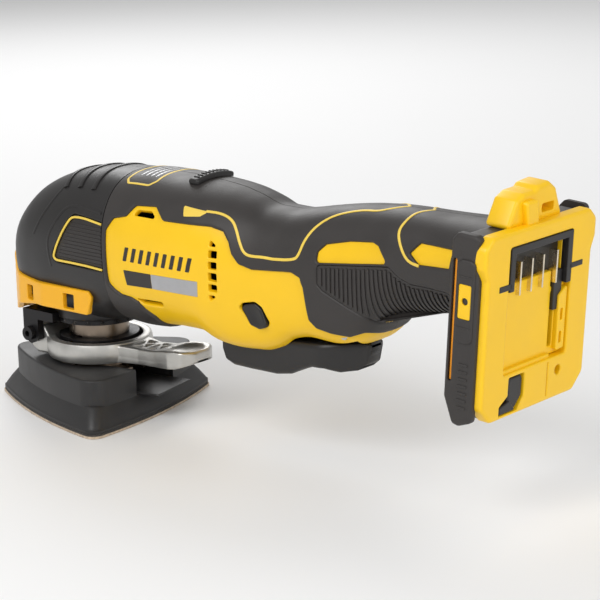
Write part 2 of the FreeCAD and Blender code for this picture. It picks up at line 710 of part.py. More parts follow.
def make_motor():
    eccentric_half = 3.0
    shaft_front = eccentric_reach + eccentric_half + 1.5
    shaft = rod(motor_shaft_radius, rear_bearing_x + motor_bearing_width - shaft_front,
                at(shaft_front, 0, motor_height), X)
    pin = rod(3.4, 2 * eccentric_half + 1.5,
              at(eccentric_reach - eccentric_half, 0, motor_height + eccentricity), X)
    write("motor_shaft", joined([shaft, pin]))
    write("eccentric_bearing", tube(eccentric_bearing_radius, 3.4, 2 * eccentric_half,
                                    at(eccentric_reach - eccentric_half, 0, motor_height + eccentricity), X))
    weight = tube(14.0, motor_shaft_radius, 5.0, at(shaft_front + 4.0, 0, motor_height), X)
    weight = weight.cut(box(0, 100, -20, 20, motor_height + 5.0, motor_height + 30))
    write("counterweight", weight)

    hub = tube(7.0, motor_shaft_radius, 9.0, at(fan_x, 0, motor_height), X)
    disc = tube(fan_radius, motor_shaft_radius, 1.6, at(fan_x + 7.4, 0, motor_height), X)
    blades = []
    blade_count = 11
    for i in range(blade_count):
        blade = box(fan_x + 1.0, fan_x + 7.6, 6.0, fan_radius - 0.5, motor_height - 0.6, motor_height + 0.6)
        blade.rotate(at(0, 6.0, motor_height), X, 28)
        blade.rotate(at(0, 0, motor_height), X, 360.0 * i / blade_count)
        blades.append(blade)
    write("cooling_fan", joined([hub, disc] + blades))

    core = tube(rotor_radius - 2.6, motor_shaft_radius, stator_length, at(stator_x, 0, motor_height), X)
    write("rotor_core", core)
    write("rotor_magnet", tube(rotor_radius, rotor_radius - 2.6, stator_length, at(stator_x, 0, motor_height), X))

    yoke = tube(stator_radius, stator_radius - 3.2, stator_length, at(stator_x, 0, motor_height), X)
    teeth = []
    coils = []
    tooth_count = 6
    for i in range(tooth_count):
        tooth = box(stator_x, stator_x + stator_length, -2.2, 2.2,
                    motor_height + rotor_radius + 0.6, motor_height + stator_radius - 2.0)
        coil = box(stator_x - 2.5, stator_x + stator_length + 2.5, -4.4, 4.4,
                   motor_height + rotor_radius + 2.2, motor_height + stator_radius - 4.0)
        coil = coil.cut(box(stator_x - 0.2, stator_x + stator_length + 0.2, -2.2, 2.2,
                            motor_height, motor_height + 40))
        tooth.rotate(at(0, 0, motor_height), X, 60.0 * i)
        coil.rotate(at(0, 0, motor_height), X, 60.0 * i)
        teeth.append(tooth)
        coils.append(coil)
    write("stator_core", joined([yoke] + teeth).cut(
        rod(rotor_radius + 0.6, stator_length, at(stator_x, 0, motor_height), X)))
    write("stator_coils", group(coils))

    front_plate = tube(bracket_radius, 7.0, 3.0, at(seam_x + 1.0, 0, motor_height), X)
    front_cup = tube(motor_bearing_radius + 2.5, motor_bearing_radius, motor_bearing_width + 0.5,
                     at(seam_x + 1.0, 0, motor_height), X)
    front = joined([front_plate, front_cup])
    front = front.cut(rod(motor_bearing_radius, motor_bearing_width, at(front_bearing_x, 0, motor_height), X))
    airways = []
    for i in range(6):
        airway = rod(3.6, 10, at(seam_x - 2, 0, motor_height + 18.6), X)
        airway.rotate(at(0, 0, motor_height), X, 60.0 * i)
        airways.append(airway)
    write("motor_front_bracket", minus(front, *airways))

    sleeve = tube(stator_radius + 1.6, stator_radius, stator_length + 5.0, at(stator_x, 0, motor_height), X)
    rear_face_x = rear_bearing_x + motor_bearing_width + 1.0
    rear_radius = min(bracket_radius, shell_half_width(rear_face_x, motor_height) - rubber_skin - shell_wall - 0.8)
    rear_plate = tube(rear_radius, 7.0, 3.0, at(rear_face_x - 3.0, 0, motor_height), X)
    rear_cup = tube(motor_bearing_radius + 2.5, motor_bearing_radius, motor_bearing_width + 1.0,
                    at(rear_bearing_x, 0, motor_height), X)
    rear_web = tube(stator_radius + 1.6, stator_radius - 1.0, 8.0, at(stator_end_x + 4.0, 0, motor_height), X)
    rear = joined([sleeve, rear_web, rear_plate, rear_cup])
    rear = rear.cut(rod(motor_bearing_radius, motor_bearing_width, at(rear_bearing_x, 0, motor_height), X))
    airways = []
    for i in range(6):
        airway = rod(3.4, 10, at(rear_bearing_x + 2, 0, motor_height + 17.6), X)
        airway.rotate(at(0, 0, motor_height), X, 60.0 * i)
        airways.append(airway)
    write("motor_rear_bracket", minus(rear, *airways))

    for name, x in (("motor_front_bearing", front_bearing_x), ("motor_rear_bearing", rear_bearing_x)):
        write(name, tube(motor_bearing_radius, motor_shaft_radius + running_clearance,
                         motor_bearing_width, at(x, 0, motor_height), X))
    board = tube(20.0, 8.5, 1.6, at(stator_end_x + 2.9, 0, motor_height), X)
    write("motor_sensor_board", board)


# ---------------------------------------------------------------- controls

def make_controls():
    reach = trigger_half_width
    start = trigger_x
    outline = (
        (start, 54.0), (start + 0.3, 46.0), (start + 2.5, 40.6), (start + 8.0, 38.8),
        (start + 33.0, 38.7), (start + 41.0, 40.2), (start + 47.0, 43.2), (start + 53.0, 45.6),
        (start + 60.0, 45.5), (start + 66.0, 44.3), (start + 73.0, 45.6), (start + 77.5, 49.0),
        (start + trigger_length, 56.0), (start + trigger_length, 59.0), (start + 50.0, 56.5),
        (start + 20.0, 55.5),
    )
    paddle = side_prism(outline, 3.0, -reach, reach)
    rear_arm = side_prism(((start + trigger_length - 12.0, 48.0), (start + trigger_length - 12.0, 68.5),
                           (start + trigger_length, 68.5), (start + trigger_length, 54.0),
                           (start + trigger_length - 3.0, 48.0)), 3.0, -9.0, 9.0)
    hollow = side_prism(
        ((start + 2.5, 60.0), (start + 2.8, 46.0), (start + 5.0, 42.4), (start + 9.0, 41.2),
         (start + 32.5, 41.2), (start + 40.0, 42.8), (start + 46.0, 46.0), (start + 52.0, 48.2),
         (start + 62.0, 48.2), (start + 62.0, 60.0)), 2.0, -reach + 2.2, reach - 2.2)
    finger = box(start + 12.0, start + 20.0, -4.0, 4.0, 40.0, 58.0)
    pin_hole = rod(trigger_pin_radius + running_clearance, 60, at(trigger_pivot_x, -30, trigger_pivot_z), Y)
    trigger = minus(joined([paddle.cut(hollow), finger.cut(box(0, 400, -20, 20, 20, 40.5)), rear_arm]), pin_hole)
    write("trigger", trigger)
    write("trigger_pin", trigger_pin())

    switch_bottom = motor_height - 10.0
    body = box(barrel_end_x + 4.0, barrel_end_x + 36.0, -10.5, 10.5, switch_bottom, switch_bottom + 16.0)
    stem = rod(2.0, 8.5, at(start + 16.0, 0, switch_bottom - 8.5))
    write("switch_module", joined([body, stem]))
    spring = []
    bottom = 58.0
    coil_count = 5
    pitch = (switch_bottom - bottom) / coil_count
    for i in range(coil_count):
        spring.append(tube(5.0, 3.6, pitch * 0.55, at(start + 16.0, 0, bottom + pitch * i)))
    write("trigger_spring", group(spring))

    lock_x = barrel_end_x + 21.0
    length = shell_half_width(lock_x, lock_height) - 0.8
    bar = rod(lock_radius, 2 * length, at(lock_x, -length, lock_height), Y)
    write("lock_button", bar)

    # Speed selector: a ridge across the crown, on a stem that slides in a slot.
    write("speed_selector", make_selector())

    write("speed_board", box(seam_x + 34.0, seam_x + 50.0, -9.0, 9.0,
                             motor_height + bracket_radius + 0.6, motor_height + bracket_radius + 2.0)
          .cut(rod(bracket_radius + 0.2, 80, at(seam_x, 0, motor_height), X)))
    control = joined([
        box(waist_end_x + 52.0, foot_x - 18.0, -11.0, 11.0, control_height, control_height + 2.0),
        box(waist_end_x + 54.0, foot_x - 20.0, -8.0, 8.0, control_height + 2.0, control_height + 14.0),
    ])
    write("control_module", control)


selector_x0 = seam_x + 39.0
selector_x1 = seam_x + 45.0
selector_half = 13.0
selector_turn = 3.7          # degrees either way, about the crown's own centre of curvature
crown_radius = 45.6
selector_stem_half = 3.0


def make_selector():
    """Ridge that slides across the crown, with a stem down through the shell's slot."""
    crest = barrel_top - 0.7
    centre = at(selector_x0, 0, crest - crown_radius)
    under = crown_radius + 0.7
    ridge = tube(under + 2.0, under, selector_x1 - selector_x0, centre, X)
    ridge = ridge.common(box(0, 200, -selector_half, selector_half, crest - 8, crest + 8))
    stem = box(selector_x0 + 1.5, selector_x1 - 1.5, -selector_stem_half, selector_stem_half,
               crest - rubber_skin - shell_wall - 0.4, crest + 1.0)
    return joined([ridge, stem])


# ---------------------------------------------------------------- battery foot

def make_foot():
    x0, x1 = foot_x, foot_rear_x
    corner = 7.0
    outline = ((-foot_half_width, foot_bottom + corner), (-foot_half_width, foot_top),
               (foot_half_width, foot_top), (foot_half_width, foot_bottom + corner),
               (foot_half_width - corner, foot_bottom), (-foot_half_width + corner, foot_bottom))

    def across(corners, radius, xa, xb):
        """Rear-view outline (y, z) given thickness from xa to xb."""
        solid = side_prism(corners, radius, 0, xb - xa)
        solid.rotate(at(0, 0, 0), Z, 90)
        solid.translate(at(xb, 0, 0))
        return solid

    block = across(outline, 3.0, x0, x1)
    w = foot_wall
    hollow = across(((-foot_half_width + w, foot_bottom + corner), (-foot_half_width + w, foot_top - w),
                     (foot_half_width - w, foot_top - w), (foot_half_width - w, foot_bottom + corner),
                     (foot_half_width - corner, foot_bottom + w), (-foot_half_width + corner, foot_bottom + w)),
                    2.0, x0 + w, x1 - foot_plate)
    hump = ((-15.0, foot_top + 0.8), (-15.0, foot_top + 9), (-8.0, foot_top + 15),
            (8.0, foot_top + 15), (15.0, foot_top + 9), (15.0, foot_top + 0.8))
    saddle = joined([across(hump, 4.0, x0 - 4.0, x1 - 6.0), box(x0, x1 - 6.0, -15.0, 15.0, foot_top - 3, foot_top + 5)])
    opening = box(x0 - 20, x0 + w + 1, -16.5, 16.5, barrel_bottom + 38.0, barrel_top - 6.0)
    window = across(((-22.5, 62.0), (-22.5, 114.5), (22.0, 114.5), (22.0, 62.0)), 1.0, x1 - 2.5, x1 + 5)
    terminal_hole = box(x1 - foot_plate - 1, x1 + 1, -17.5, 17.5, 92.0, 111.5)
    rails = [box(x1 - 2.0, x1 + 5, side - 3.0, side + 3.0, 55.0, 101.0) for side in (-26.5, 26.5)]
    catch = box(x1 - foot_plate - 1, x1 + 1, -33.0, -22.0, foot_bottom + 2.0, foot_bottom + 12.0)
    hook_holes = [rod(2.1, 12, at(x0 + 8.0, side, 96.0), Y) for side in (-40.0, 28.0)]
    foot = minus(joined([block, saddle]), hollow, opening, window, terminal_hole, catch, *rails)
    foot = minus(foot, *hook_holes)
    largest = max(foot.Solids, key=lambda solid: solid.Volume)
    write("battery_foot", leaned(largest))

    bumper_outline = ((x0 - 0.5, foot_bottom + 8.0), (x0 - 0.5, foot_top + 1.0), (x1 - 3.5, foot_top + 1.0),
                      (x1 - 3.5, foot_bottom - 0.5), (x0 + 8.0, foot_bottom - 0.5))
    y0 = foot_half_width
    y1 = foot_half_width + bumper_thickness
    right_bumper = side_prism(bumper_outline, 2.0, y0, y1)
    pad = side_prism(((x0 + 3.0, 79.0), (x0 + 3.0, 113.0), (x1 - 4.5, 113.0), (x1 - 4.5, 79.0)), 3.5, y1 - 0.5, y1 + 0.8)
    right_bumper = joined([right_bumper, pad])
    window = box(x0 + 4.5, x1 - 5.5, y0 - 1, y1 + 3, 89.0, 103.0)
    right_bumper = right_bumper.cut(window)
    write("right_bumper", leaned(right_bumper))
    write("left_bumper", leaned(mirrored(right_bumper)))
    plate = box(x0 + 4.5, x1 - 5.5, y0, y1 + 0.5, 89.0, 103.0).cut(rod(2.1, 12, at(x0 + 8.0, 35, 96.0), Y))
    write("hook_plate_right", leaned(plate))
    write("hook_plate_left", leaned(mirrored(plate)))

    terminal = box(x1 - foot_plate - 4.0, x1 - foot_plate, -20.0, 20.0, 88.0, 113.0)
    blades = []
    for y in (-13.0, -5.0, 3.0, 13.0):
        blades.append(box(x1 - foot_plate, x1 - 1.0, y - 0.5, y + 0.5, 94.0, 108.0))
    write("terminal_block", leaned(terminal))
    write("terminal_blades", group([leaned(blade) for blade in blades]))
    write("battery_catch", leaned(box(x1 - foot_plate, x1 - 0.6, -32.7, -22.3, foot_bottom + 2.3, foot_bottom + 11.7)))


# ---------------------------------------------------------------- wiring

def wire(points, radius):
    """Round wire: straight runs joined by tangent arcs."""
    edges = []
    last = at(*points[0])
    for i in range(1, len(points) - 1):
        here = at(*points[i])
        to_before = at(*points[i - 1]) - here
        to_after = at(*points[i + 1]) - here
        half = to_before.getAngle(to_after) / 2
        reach = 0.45 * min(to_before.Length, to_after.Length)
        to_before.normalize()
        to_after.normalize()
        start = here + to_before * reach
        end = here + to_after * reach
        middle_way = to_before + to_after
        middle_way.normalize()
        size = reach * math.tan(half)
        middle = here + middle_way * (math.hypot(reach, size) - size)
        edges.append(Part.LineSegment(last, start).toShape())
        edges.append(Part.Arc(start, middle, end).toShape())
        last = end
    edges.append(Part.LineSegment(last, at(*points[-1])).toShape())
    path = Part.Wire(edges)
    first = at(*points[1]) - at(*points[0])
    circle = Part.Wire(Part.makeCircle(radius, at(*points[0]), first))
    return path.makePipeShell([circle], True, False)


def make_wiring():
    start_x = barrel_end_x + 36.0
    low = motor_height - 4.0
    high = control_height + 1.0
    motor_leads = []
    for y in (-3.2, 0.0, 3.2):
        motor_leads.append(wire(((start_x, y, low), (start_x + 16.0, y, low), (waist_end_x + 36.0, y, high),
                                 (waist_end_x + 52.0, y, high)), 0.9))
    write("motor_leads", group(motor_leads))
    battery_leads = []
    for y in (-5.0, 5.0):
        battery_leads.append(rod(1.3, 25.0, at(foot_x - 20.0, y, control_height + 6.0), X))
    write("battery_leads", group(battery_leads))


# ---------------------------------------------------------------- sanding pad

def delta_outline(tip, bulge, tip_round):
    """Rounded triangle in plan with slightly convex sides, one tip to the front."""
    points = []
    for i in range(3):
        angle = math.radians(180 + pad_turn + 120 * i)
        spread = math.radians(tip_round)
        points.append((tip * math.cos(angle - spread), tip * math.sin(angle - spread)))
        points.append((tip * math.cos(angle + spread), tip * math.sin(angle + spread)))
    edges = []
    for i in range(6):
        x0, y0 = points[i]
        x1, y1 = points[(i + 1) % 6]
        start = at(x0, y0, 0)
        end = at(x1, y1, 0)
        middle = (start + end) * 0.5
        outward = at(middle.x, middle.y, 0)
        outward.normalize()
        rise = bulge if i % 2 == 1 else (end - start).Length * 0.2
        edges.append(Part.Arc(start, middle + outward * rise, end).toShape())
    return Part.Wire(edges)


def delta_solid(z0, z1, tip0, tip1, bulge, tip_round):
    low = delta_outline(tip0, bulge, tip_round)
    low.translate(at(0, 0, z0))
    high = delta_outline(tip1, bulge, tip_round)
    high.translate(at(0, 0, z1))
    return Part.makeLoft([low, high], True, True)


def make_pad():
    bulge = 4.6
    tip_round = 4.0
    write("sanding_sheet", delta_solid(0, sheet_thickness, pad_corner_radius, pad_corner_radius, bulge, tip_round))
    base_z = sheet_thickness + hook_layer
    write("pad_hook_layer", delta_solid(sheet_thickness, base_z, pad_corner_radius - 0.6,
                                        pad_corner_radius - 0.6, bulge, tip_round))
    lip = delta_solid(base_z, base_z + 1.6, pad_corner_radius - 0.4, pad_corner_radius - 0.8, bulge, tip_round)
    flare = delta_solid(base_z + 1.6, pad_flare_height, pad_corner_radius - 0.8, pad_corner_radius - 9.0,
                        bulge, tip_round)
    block = delta_solid(pad_flare_height - 0.5, pad_height, pad_corner_radius - 11.0, pad_corner_radius - 11.6,
                        bulge, 9.0)
    body = joined([lip, flare, block])

    plate_top = spindle_seat_height
    plate_bottom = plate_top - pad_plate_thickness
    flange_room_bottom = plate_bottom - clamp_flange_thickness - clamp_stroke - 1.4

    def rear_slot(half_width, z0, z1):
        slot = box(0, 80, -half_width, half_width, z0, z1)
        slot.rotate(at(0, 0, 0), Z, pad_turn)
        return slot

    plate_radius = lever_ring_inner + 1.0
    plate = rod(plate_radius, pad_plate_thickness, at(0, 0, plate_bottom))
    plate = plate.cut(rear_slot(clamp_rod_radius + 0.6, plate_bottom - 1, plate_top + 1))
    plate = plate.cut(rod(clamp_rod_radius + 0.6, 10, at(0, 0, plate_bottom - 2)))
    write("pad_mounting_plate", plate)

    pocket_low = rod(18.5, plate_bottom - flange_room_bottom, at(0, 0, flange_room_bottom))
    pocket_high = rod(18.5, 20, at(0, 0, plate_top))
    body = minus(
        body, pocket_low, pocket_high,
        rod(plate_radius, pad_plate_thickness, at(0, 0, plate_bottom)),
        rear_slot(pad_mouth_half_width, pad_flare_height, pad_height + 5),
        rear_slot(clamp_flange_radius + 1.5, flange_room_bottom, pad_height + 5),
    )
    write("pad_body", body)


# ---------------------------------------------------------------- build

make_clamshell()
envelope = make_gear_case()
make_head_cover(envelope)
make_light_bracket(envelope)
make_output()
make_clamp()
make_lever()
make_motor()
make_controls()
make_foot()
make_wiring()
make_pad()
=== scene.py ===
import math

import bpy
import numpy as np
from mathutils import Matrix, Vector
from mathutils.geometry import delaunay_2d_cdt


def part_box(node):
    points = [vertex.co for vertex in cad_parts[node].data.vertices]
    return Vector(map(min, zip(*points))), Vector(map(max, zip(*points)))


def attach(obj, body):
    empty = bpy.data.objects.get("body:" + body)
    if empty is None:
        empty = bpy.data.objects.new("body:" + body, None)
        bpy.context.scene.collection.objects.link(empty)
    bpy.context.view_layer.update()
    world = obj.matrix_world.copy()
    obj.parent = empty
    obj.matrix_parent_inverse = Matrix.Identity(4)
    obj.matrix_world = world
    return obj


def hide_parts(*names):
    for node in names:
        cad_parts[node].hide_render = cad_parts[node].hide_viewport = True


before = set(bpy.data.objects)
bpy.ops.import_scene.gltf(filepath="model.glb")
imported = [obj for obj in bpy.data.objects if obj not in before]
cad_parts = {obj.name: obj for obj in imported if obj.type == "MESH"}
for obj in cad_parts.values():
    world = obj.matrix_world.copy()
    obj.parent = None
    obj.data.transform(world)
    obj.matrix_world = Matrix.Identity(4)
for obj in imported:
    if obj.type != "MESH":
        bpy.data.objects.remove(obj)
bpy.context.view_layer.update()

bl_info = {
    "name": "Oscillating multi-tool",
    "version": (1, 0, 0),
    "blender": (4, 5, 0),
    "location": "View3D > Sidebar > Multi-tool",
    "description": "Moulded skin, cast lever, sanding pad and battery foot around the packed frame",
    "category": "Object",
}

MM = 0.001

# Stations along the tool, in millimetres from the spindle's axis
SEAM_X = 35.0
BARREL_END_X = 100.0
WAIST_END_X = 140.0
FOOT_X = 242.0
FOOT_REAR_X = 258.0
FOOT_TOP = 122.0
FOOT_LEAN = math.radians(4.17)
BARREL_TOP = 121.5
BARREL_BOTTOM = 49.5
RUBBER = 1.2
SHELL_WALL = 2.3
UPPER_SQUARENESS = 2.4
WIDEST_SHARE = 0.52
SKIN_MIDDLE_Z = 85.0
NOSE_LENGTH = 24.0

# x, keel, crest, half-width and squareness of the lower half, as the clamshell is designed
HOUSING_STATIONS = (
    (SEAM_X - 5, BARREL_BOTTOM, BARREL_TOP - 1.2, 30.7, 2.5),
    (SEAM_X + 13, BARREL_BOTTOM - 1, BARREL_TOP + 0.2, 31.4, 2.6),
    (SEAM_X + 34, BARREL_BOTTOM + 0.5, BARREL_TOP - 0.2, 31.4, 2.7),
    (SEAM_X + 50, BARREL_BOTTOM + 1, BARREL_TOP - 1.2, 31.0, 3.0),
    (BARREL_END_X - 3, BARREL_BOTTOM - 1.9, BARREL_TOP - 2.5, 29.7, 3.6),
    (BARREL_END_X + 8, BARREL_BOTTOM - 2.5, BARREL_TOP - 5, 28.0, 4.0),
    (BARREL_END_X + 20, BARREL_BOTTOM - 2, BARREL_TOP - 8.4, 25.4, 4.0),
    (WAIST_END_X - 9, BARREL_BOTTOM + 1.5, BARREL_TOP - 8.6, 23.8, 4.0),
    (WAIST_END_X - 3, BARREL_BOTTOM + 5.6, BARREL_TOP - 7.8, 22.8, 4.0),
    (WAIST_END_X + 6, BARREL_BOTTOM + 7.3, BARREL_TOP - 6, 21.9, 4.0),
    (WAIST_END_X + 20, BARREL_BOTTOM + 6.2, BARREL_TOP - 3.5, 21.0, 3.8),
    (WAIST_END_X + 32, BARREL_BOTTOM + 8.6, BARREL_TOP - 1.9, 20.7, 3.6),
    (WAIST_END_X + 38, BARREL_BOTTOM + 12.4, BARREL_TOP - 1.4, 20.5, 3.2),
    (WAIST_END_X + 44, BARREL_BOTTOM + 20.6, BARREL_TOP - 1, 20.4, 2.6),
    (WAIST_END_X + 54, BARREL_BOTTOM + 25.6, BARREL_TOP - 0.8, 20.4, 2.3),
    (WAIST_END_X + 72, BARREL_BOTTOM + 28.8, BARREL_TOP - 0.9, 20.7, 2.3),
    (FOOT_X - 16, BARREL_BOTTOM + 31.5, BARREL_TOP - 0.8, 21.6, 2.3),
    (FOOT_X + 6, BARREL_BOTTOM + 33.5, BARREL_TOP - 0.4, 24.4, 2.5),
)
HEAD_STATIONS = (
    (-38.5, 75.9, 76.1, 0.1, 2.4), (-38.5, 64, 88, 10, 2.4), (-37.7, 60, 91, 15, 2.4),
    (-36, 56, 94, 18.5, 2.4), (-32.5, 52, 98.5, 21.8, 2.4), (-26.5, 48.5, 104.5, 24.4, 2.5),
    (-19.5, 47, 109.6, 26.3, 2.5), (-8, 46, 114.7, 28.2, 2.5), (5, 46, 118.3, 29.2, 2.5),
    (19, 46.5, 120, 30.1, 2.5), (28, 48, 120.6, 30.5, 2.5), (SEAM_X, 51, 120.7, 30.8, 2.5),
)


# ------------------------------------------------------------------ settings

class FinishSettings(bpy.types.PropertyGroup):
    """Colours of the finishes."""
    shell_yellow: bpy.props.FloatVectorProperty(
        name="Shell yellow", description="Moulded nylon of the clamshell and the foot",
        size=3, subtype="COLOR", min=0, max=1, default=(0.93, 0.56, 0.003))
    guard_yellow: bpy.props.FloatVectorProperty(
        name="Guard yellow", description="Guard round the lower head",
        size=3, subtype="COLOR", min=0, max=1, default=(0.90, 0.44, 0.003))
    piping_yellow: bpy.props.FloatVectorProperty(
        name="Piping yellow", description="Thin lines laid in the rubber",
        size=3, subtype="COLOR", min=0, max=1, default=(0.85, 0.60, 0.08))
    rubber: bpy.props.FloatVectorProperty(
        name="Rubber", description="Overmoulded grip rubber",
        size=3, subtype="COLOR", min=0, max=1, default=(0.030, 0.026, 0.024))
    pad: bpy.props.FloatVectorProperty(
        name="Pad", description="Moulded pad body",
        size=3, subtype="COLOR", min=0, max=1, default=(0.020, 0.019, 0.019))
    alloy: bpy.props.FloatVectorProperty(
        name="Cast alloy", description="Clamp lever and its lugs",
        size=3, subtype="COLOR", min=0, max=1, default=(0.56, 0.55, 0.52))


class ShapeSettings(bpy.types.PropertyGroup):
    """Sizes of the small shapes."""
    edge_radius: bpy.props.FloatProperty(
        name="Rubber edge", description="Rounding where the rubber steps down to the nylon",
        default=0.0009, min=0.0001, max=0.0012, subtype="DISTANCE", unit="LENGTH")
    piping_width: bpy.props.FloatProperty(
        name="Piping width", description="Width of the lines laid in the rubber",
        default=0.0013, min=0.0003, max=0.003, subtype="DISTANCE", unit="LENGTH")
    rib_pitch: bpy.props.FloatProperty(
        name="Rib pitch", description="Distance between the ribs of the finger grip",
        default=0.0023, min=0.001, max=0.006, subtype="DISTANCE", unit="LENGTH")
    camera_distance: bpy.props.FloatProperty(
        name="Camera distance", description="From the camera to its target",
        default=0.98503, min=0.2, max=5.0, subtype="DISTANCE", unit="LENGTH")


# ------------------------------------------------------------------ finishes

def moulded(name, colour, roughness, metallic, grain, mottle, stretch=(1.0, 1.0, 1.0), wear=0.12, coat=0.0):
    """Finish with a fine grain, uneven colour and uneven gloss."""
    material = bpy.data.materials.new(name)
    material.use_nodes = True
    tree = material.node_tree
    nodes, links = tree.nodes, tree.links
    shader = nodes["Principled BSDF"]
    shader.inputs["Metallic"].default_value = metallic
    shader.inputs["Coat Weight"].default_value = coat
    shader.inputs["Coat Roughness"].default_value = 0.25
    place = nodes.new("ShaderNodeTexCoord")
    mapping = nodes.new("ShaderNodeMapping")
    mapping.inputs["Scale"].default_value = stretch
    links.new(place.outputs["Object"], mapping.inputs["Vector"])

    fine = nodes.new("ShaderNodeTexNoise")
    fine.inputs["Scale"].default_value = grain[0]
    fine.inputs["Detail"].default_value = 3.0
    broad = nodes.new("ShaderNodeTexNoise")
    broad.inputs["Scale"].default_value = mottle[0]
    broad.inputs["Detail"].default_value = 4.0
    links.new(mapping.outputs["Vector"], fine.inputs["Vector"])
    links.new(mapping.outputs["Vector"], broad.inputs["Vector"])

    tint = nodes.new("ShaderNodeValToRGB")
    darker = [c * (1 - mottle[1]) for c in colour]
    lighter = [min(1.0, c * (1 + mottle[1])) for c in colour]
    tint.color_ramp.elements[0].position = 0.3
    tint.color_ramp.elements[0].color = (*darker, 1)
    tint.color_ramp.elements[1].position = 0.7
    tint.color_ramp.elements[1].color = (*lighter, 1)
    links.new(broad.outputs["Fac"], tint.inputs["Fac"])
    links.new(tint.outputs["Color"], shader.inputs["Base Color"])

    gloss = nodes.new("ShaderNodeMapRange")
    gloss.inputs["To Min"].default_value = max(0.03, roughness - wear)
    gloss.inputs["To Max"].default_value = min(1.0, roughness + wear)
    links.new(broad.outputs["Fac"], gloss.inputs["Value"])
    links.new(gloss.outputs["Result"], shader.inputs["Roughness"])

    bump = nodes.new("ShaderNodeBump")
    bump.inputs["Strength"].default_value = grain[1]
    bump.inputs["Distance"].default_value = 0.0002
    links.new(fine.outputs["Fac"], bump.inputs["Height"])
    links.new(bump.outputs["Normal"], shader.inputs["Normal"])
    return material


ROUND_X = (0.04, 1.0, 1.0)
ROUND_Z = (1.0, 1.0, 0.04)
EVEN = (1.0, 1.0, 1.0)

# colour, roughness, metallic, grain (scale, depth), mottle (scale, depth), then stretch, wear and coat
PLAIN_FINISHES = {
    # painted shade: floor of the bumper's slot, the yellow behind it coloured darker orange for the shade
    # inside the slot
    "painted_shade_orange": ((0.85, 0.30, 0.004), 0.45, 0.0, (2600, 0.05), (60, 0.05)),
    "black_nylon": ((0.014, 0.0125, 0.012), 0.40, 0.0, (2300, 0.14), (80, 0.12)),
    "turned_steel": ((0.26, 0.21, 0.165), 0.30, 1.0, (2600, 0.12), (120, 0.15), ROUND_Z),
    "motor_steel": ((0.42, 0.41, 0.40), 0.28, 1.0, (2600, 0.10), (120, 0.10), ROUND_X),
    "black_oxide": ((0.018, 0.017, 0.018), 0.36, 0.6, (2200, 0.12), (120, 0.15)),
    "zinc": ((0.50, 0.49, 0.47), 0.30, 1.0, (2600, 0.08), (150, 0.12)),
    "bearing_steel": ((0.62, 0.62, 0.63), 0.16, 1.0, (3000, 0.03), (90, 0.05)),
    "spring_steel": ((0.30, 0.29, 0.30), 0.30, 1.0, (2600, 0.06), (150, 0.15)),
    "abrasive": ((0.55, 0.44, 0.33), 0.85, 0.0, (3800, 0.9), (500, 0.22)),
    "hook_fabric": ((0.05, 0.048, 0.047), 0.90, 0.0, (2800, 0.8), (900, 0.30)),
    "circuit_green": ((0.02, 0.11, 0.05), 0.35, 0.0, (900, 0.10), (250, 0.30), EVEN, 0.12, 0.4),
    "laminations": ((0.20, 0.20, 0.21), 0.42, 0.9, (900, 0.40), (300, 0.1), (2.2, 0.05, 0.05)),
    "copper": ((0.62, 0.24, 0.09), 0.34, 0.9, (1400, 0.50), (200, 0.12), (1.0, 0.15, 0.15)),
    "magnet": ((0.24, 0.24, 0.26), 0.30, 0.9, (1800, 0.08), (120, 0.12)),
    "contact_metal": ((0.78, 0.70, 0.55), 0.26, 1.0, (2600, 0.06), (200, 0.12)),
    "lead_red": ((0.35, 0.012, 0.010), 0.45, 0.0, (1600, 0.08), (120, 0.10)),
    "plate_silver": ((0.42, 0.42, 0.43), 0.34, 0.55, (2600, 0.06), (200, 0.05)),
    "plate_dark": ((0.022, 0.018, 0.016), 0.42, 0.0, (2600, 0.06), (200, 0.10)),
    "clear_lens": ((0.92, 0.95, 1.0), 0.10, 0.0, (1200, 0.05), (200, 0.02), EVEN, 0.02),
}
LENS_CLARITY = 0.85


def make_finishes(settings):
    """Every finish by name."""
    looks = dict(PLAIN_FINISHES)
    looks["shell_yellow"] = (settings.shell_yellow, 0.36, 0.0, (2600, 0.05), (40, 0.025))
    looks["guard_yellow"] = (settings.guard_yellow, 0.36, 0.0, (2600, 0.05), (45, 0.03))
    looks["piping_yellow"] = (settings.piping_yellow, 0.42, 0.0, (2600, 0.05), (60, 0.05))
    looks["grip_rubber"] = (settings.rubber, 0.50, 0.0, (1500, 0.32), (70, 0.12))
    looks["pad_rubber"] = (settings.pad, 0.48, 0.0, (1300, 0.22), (90, 0.2))
    looks["cast_alloy"] = (settings.alloy, 0.40, 0.92, (2100, 0.20), (120, 0.10))
    made = {name: moulded(name, *look) for name, look in looks.items()}
    lens = made["clear_lens"].node_tree.nodes["Principled BSDF"]
    lens.inputs["Transmission Weight"].default_value = LENS_CLARITY
    return made


CARRIED_OVER = { "grip_rubber": ("dust_seal",), "cast_alloy": ("motor_front_bracket",),
    "black_nylon": ("motor_rear_bracket", "switch_module", "control_module", "terminal_block",
    "cooling_fan"), "turned_steel": ("spindle", "output_fork", "pad_mounting_plate", "clamp_rod",
    "clamp_flange", "clamp_nut"), "motor_steel": ("motor_shaft", "counterweight"),
    "black_oxide": ("lever_pivot_bolt", "release_ring", "gear_case"), "zinc": ("trigger_pin", "release_pin"),
    "spring_steel": ("lever_spring", "trigger_spring", "clamp_spring"),
    "bearing_steel": ("spindle_lower_bearing", "spindle_upper_bearing", "motor_front_bearing",
    "motor_rear_bearing", "eccentric_bearing"), "abrasive": ("sanding_sheet",),
    "hook_fabric": ("pad_hook_layer",), "clear_lens": ("work_light_lens",),
    "circuit_green": ("work_light_board", "motor_sensor_board", "speed_board"),
    "laminations": ("stator_core", "rotor_core"), "copper": ("stator_coils",), "magnet": ("rotor_magnet",),
    "contact_metal": ("terminal_blades",), "lead_red": ("motor_leads", "battery_leads"), }
FINISH = {}


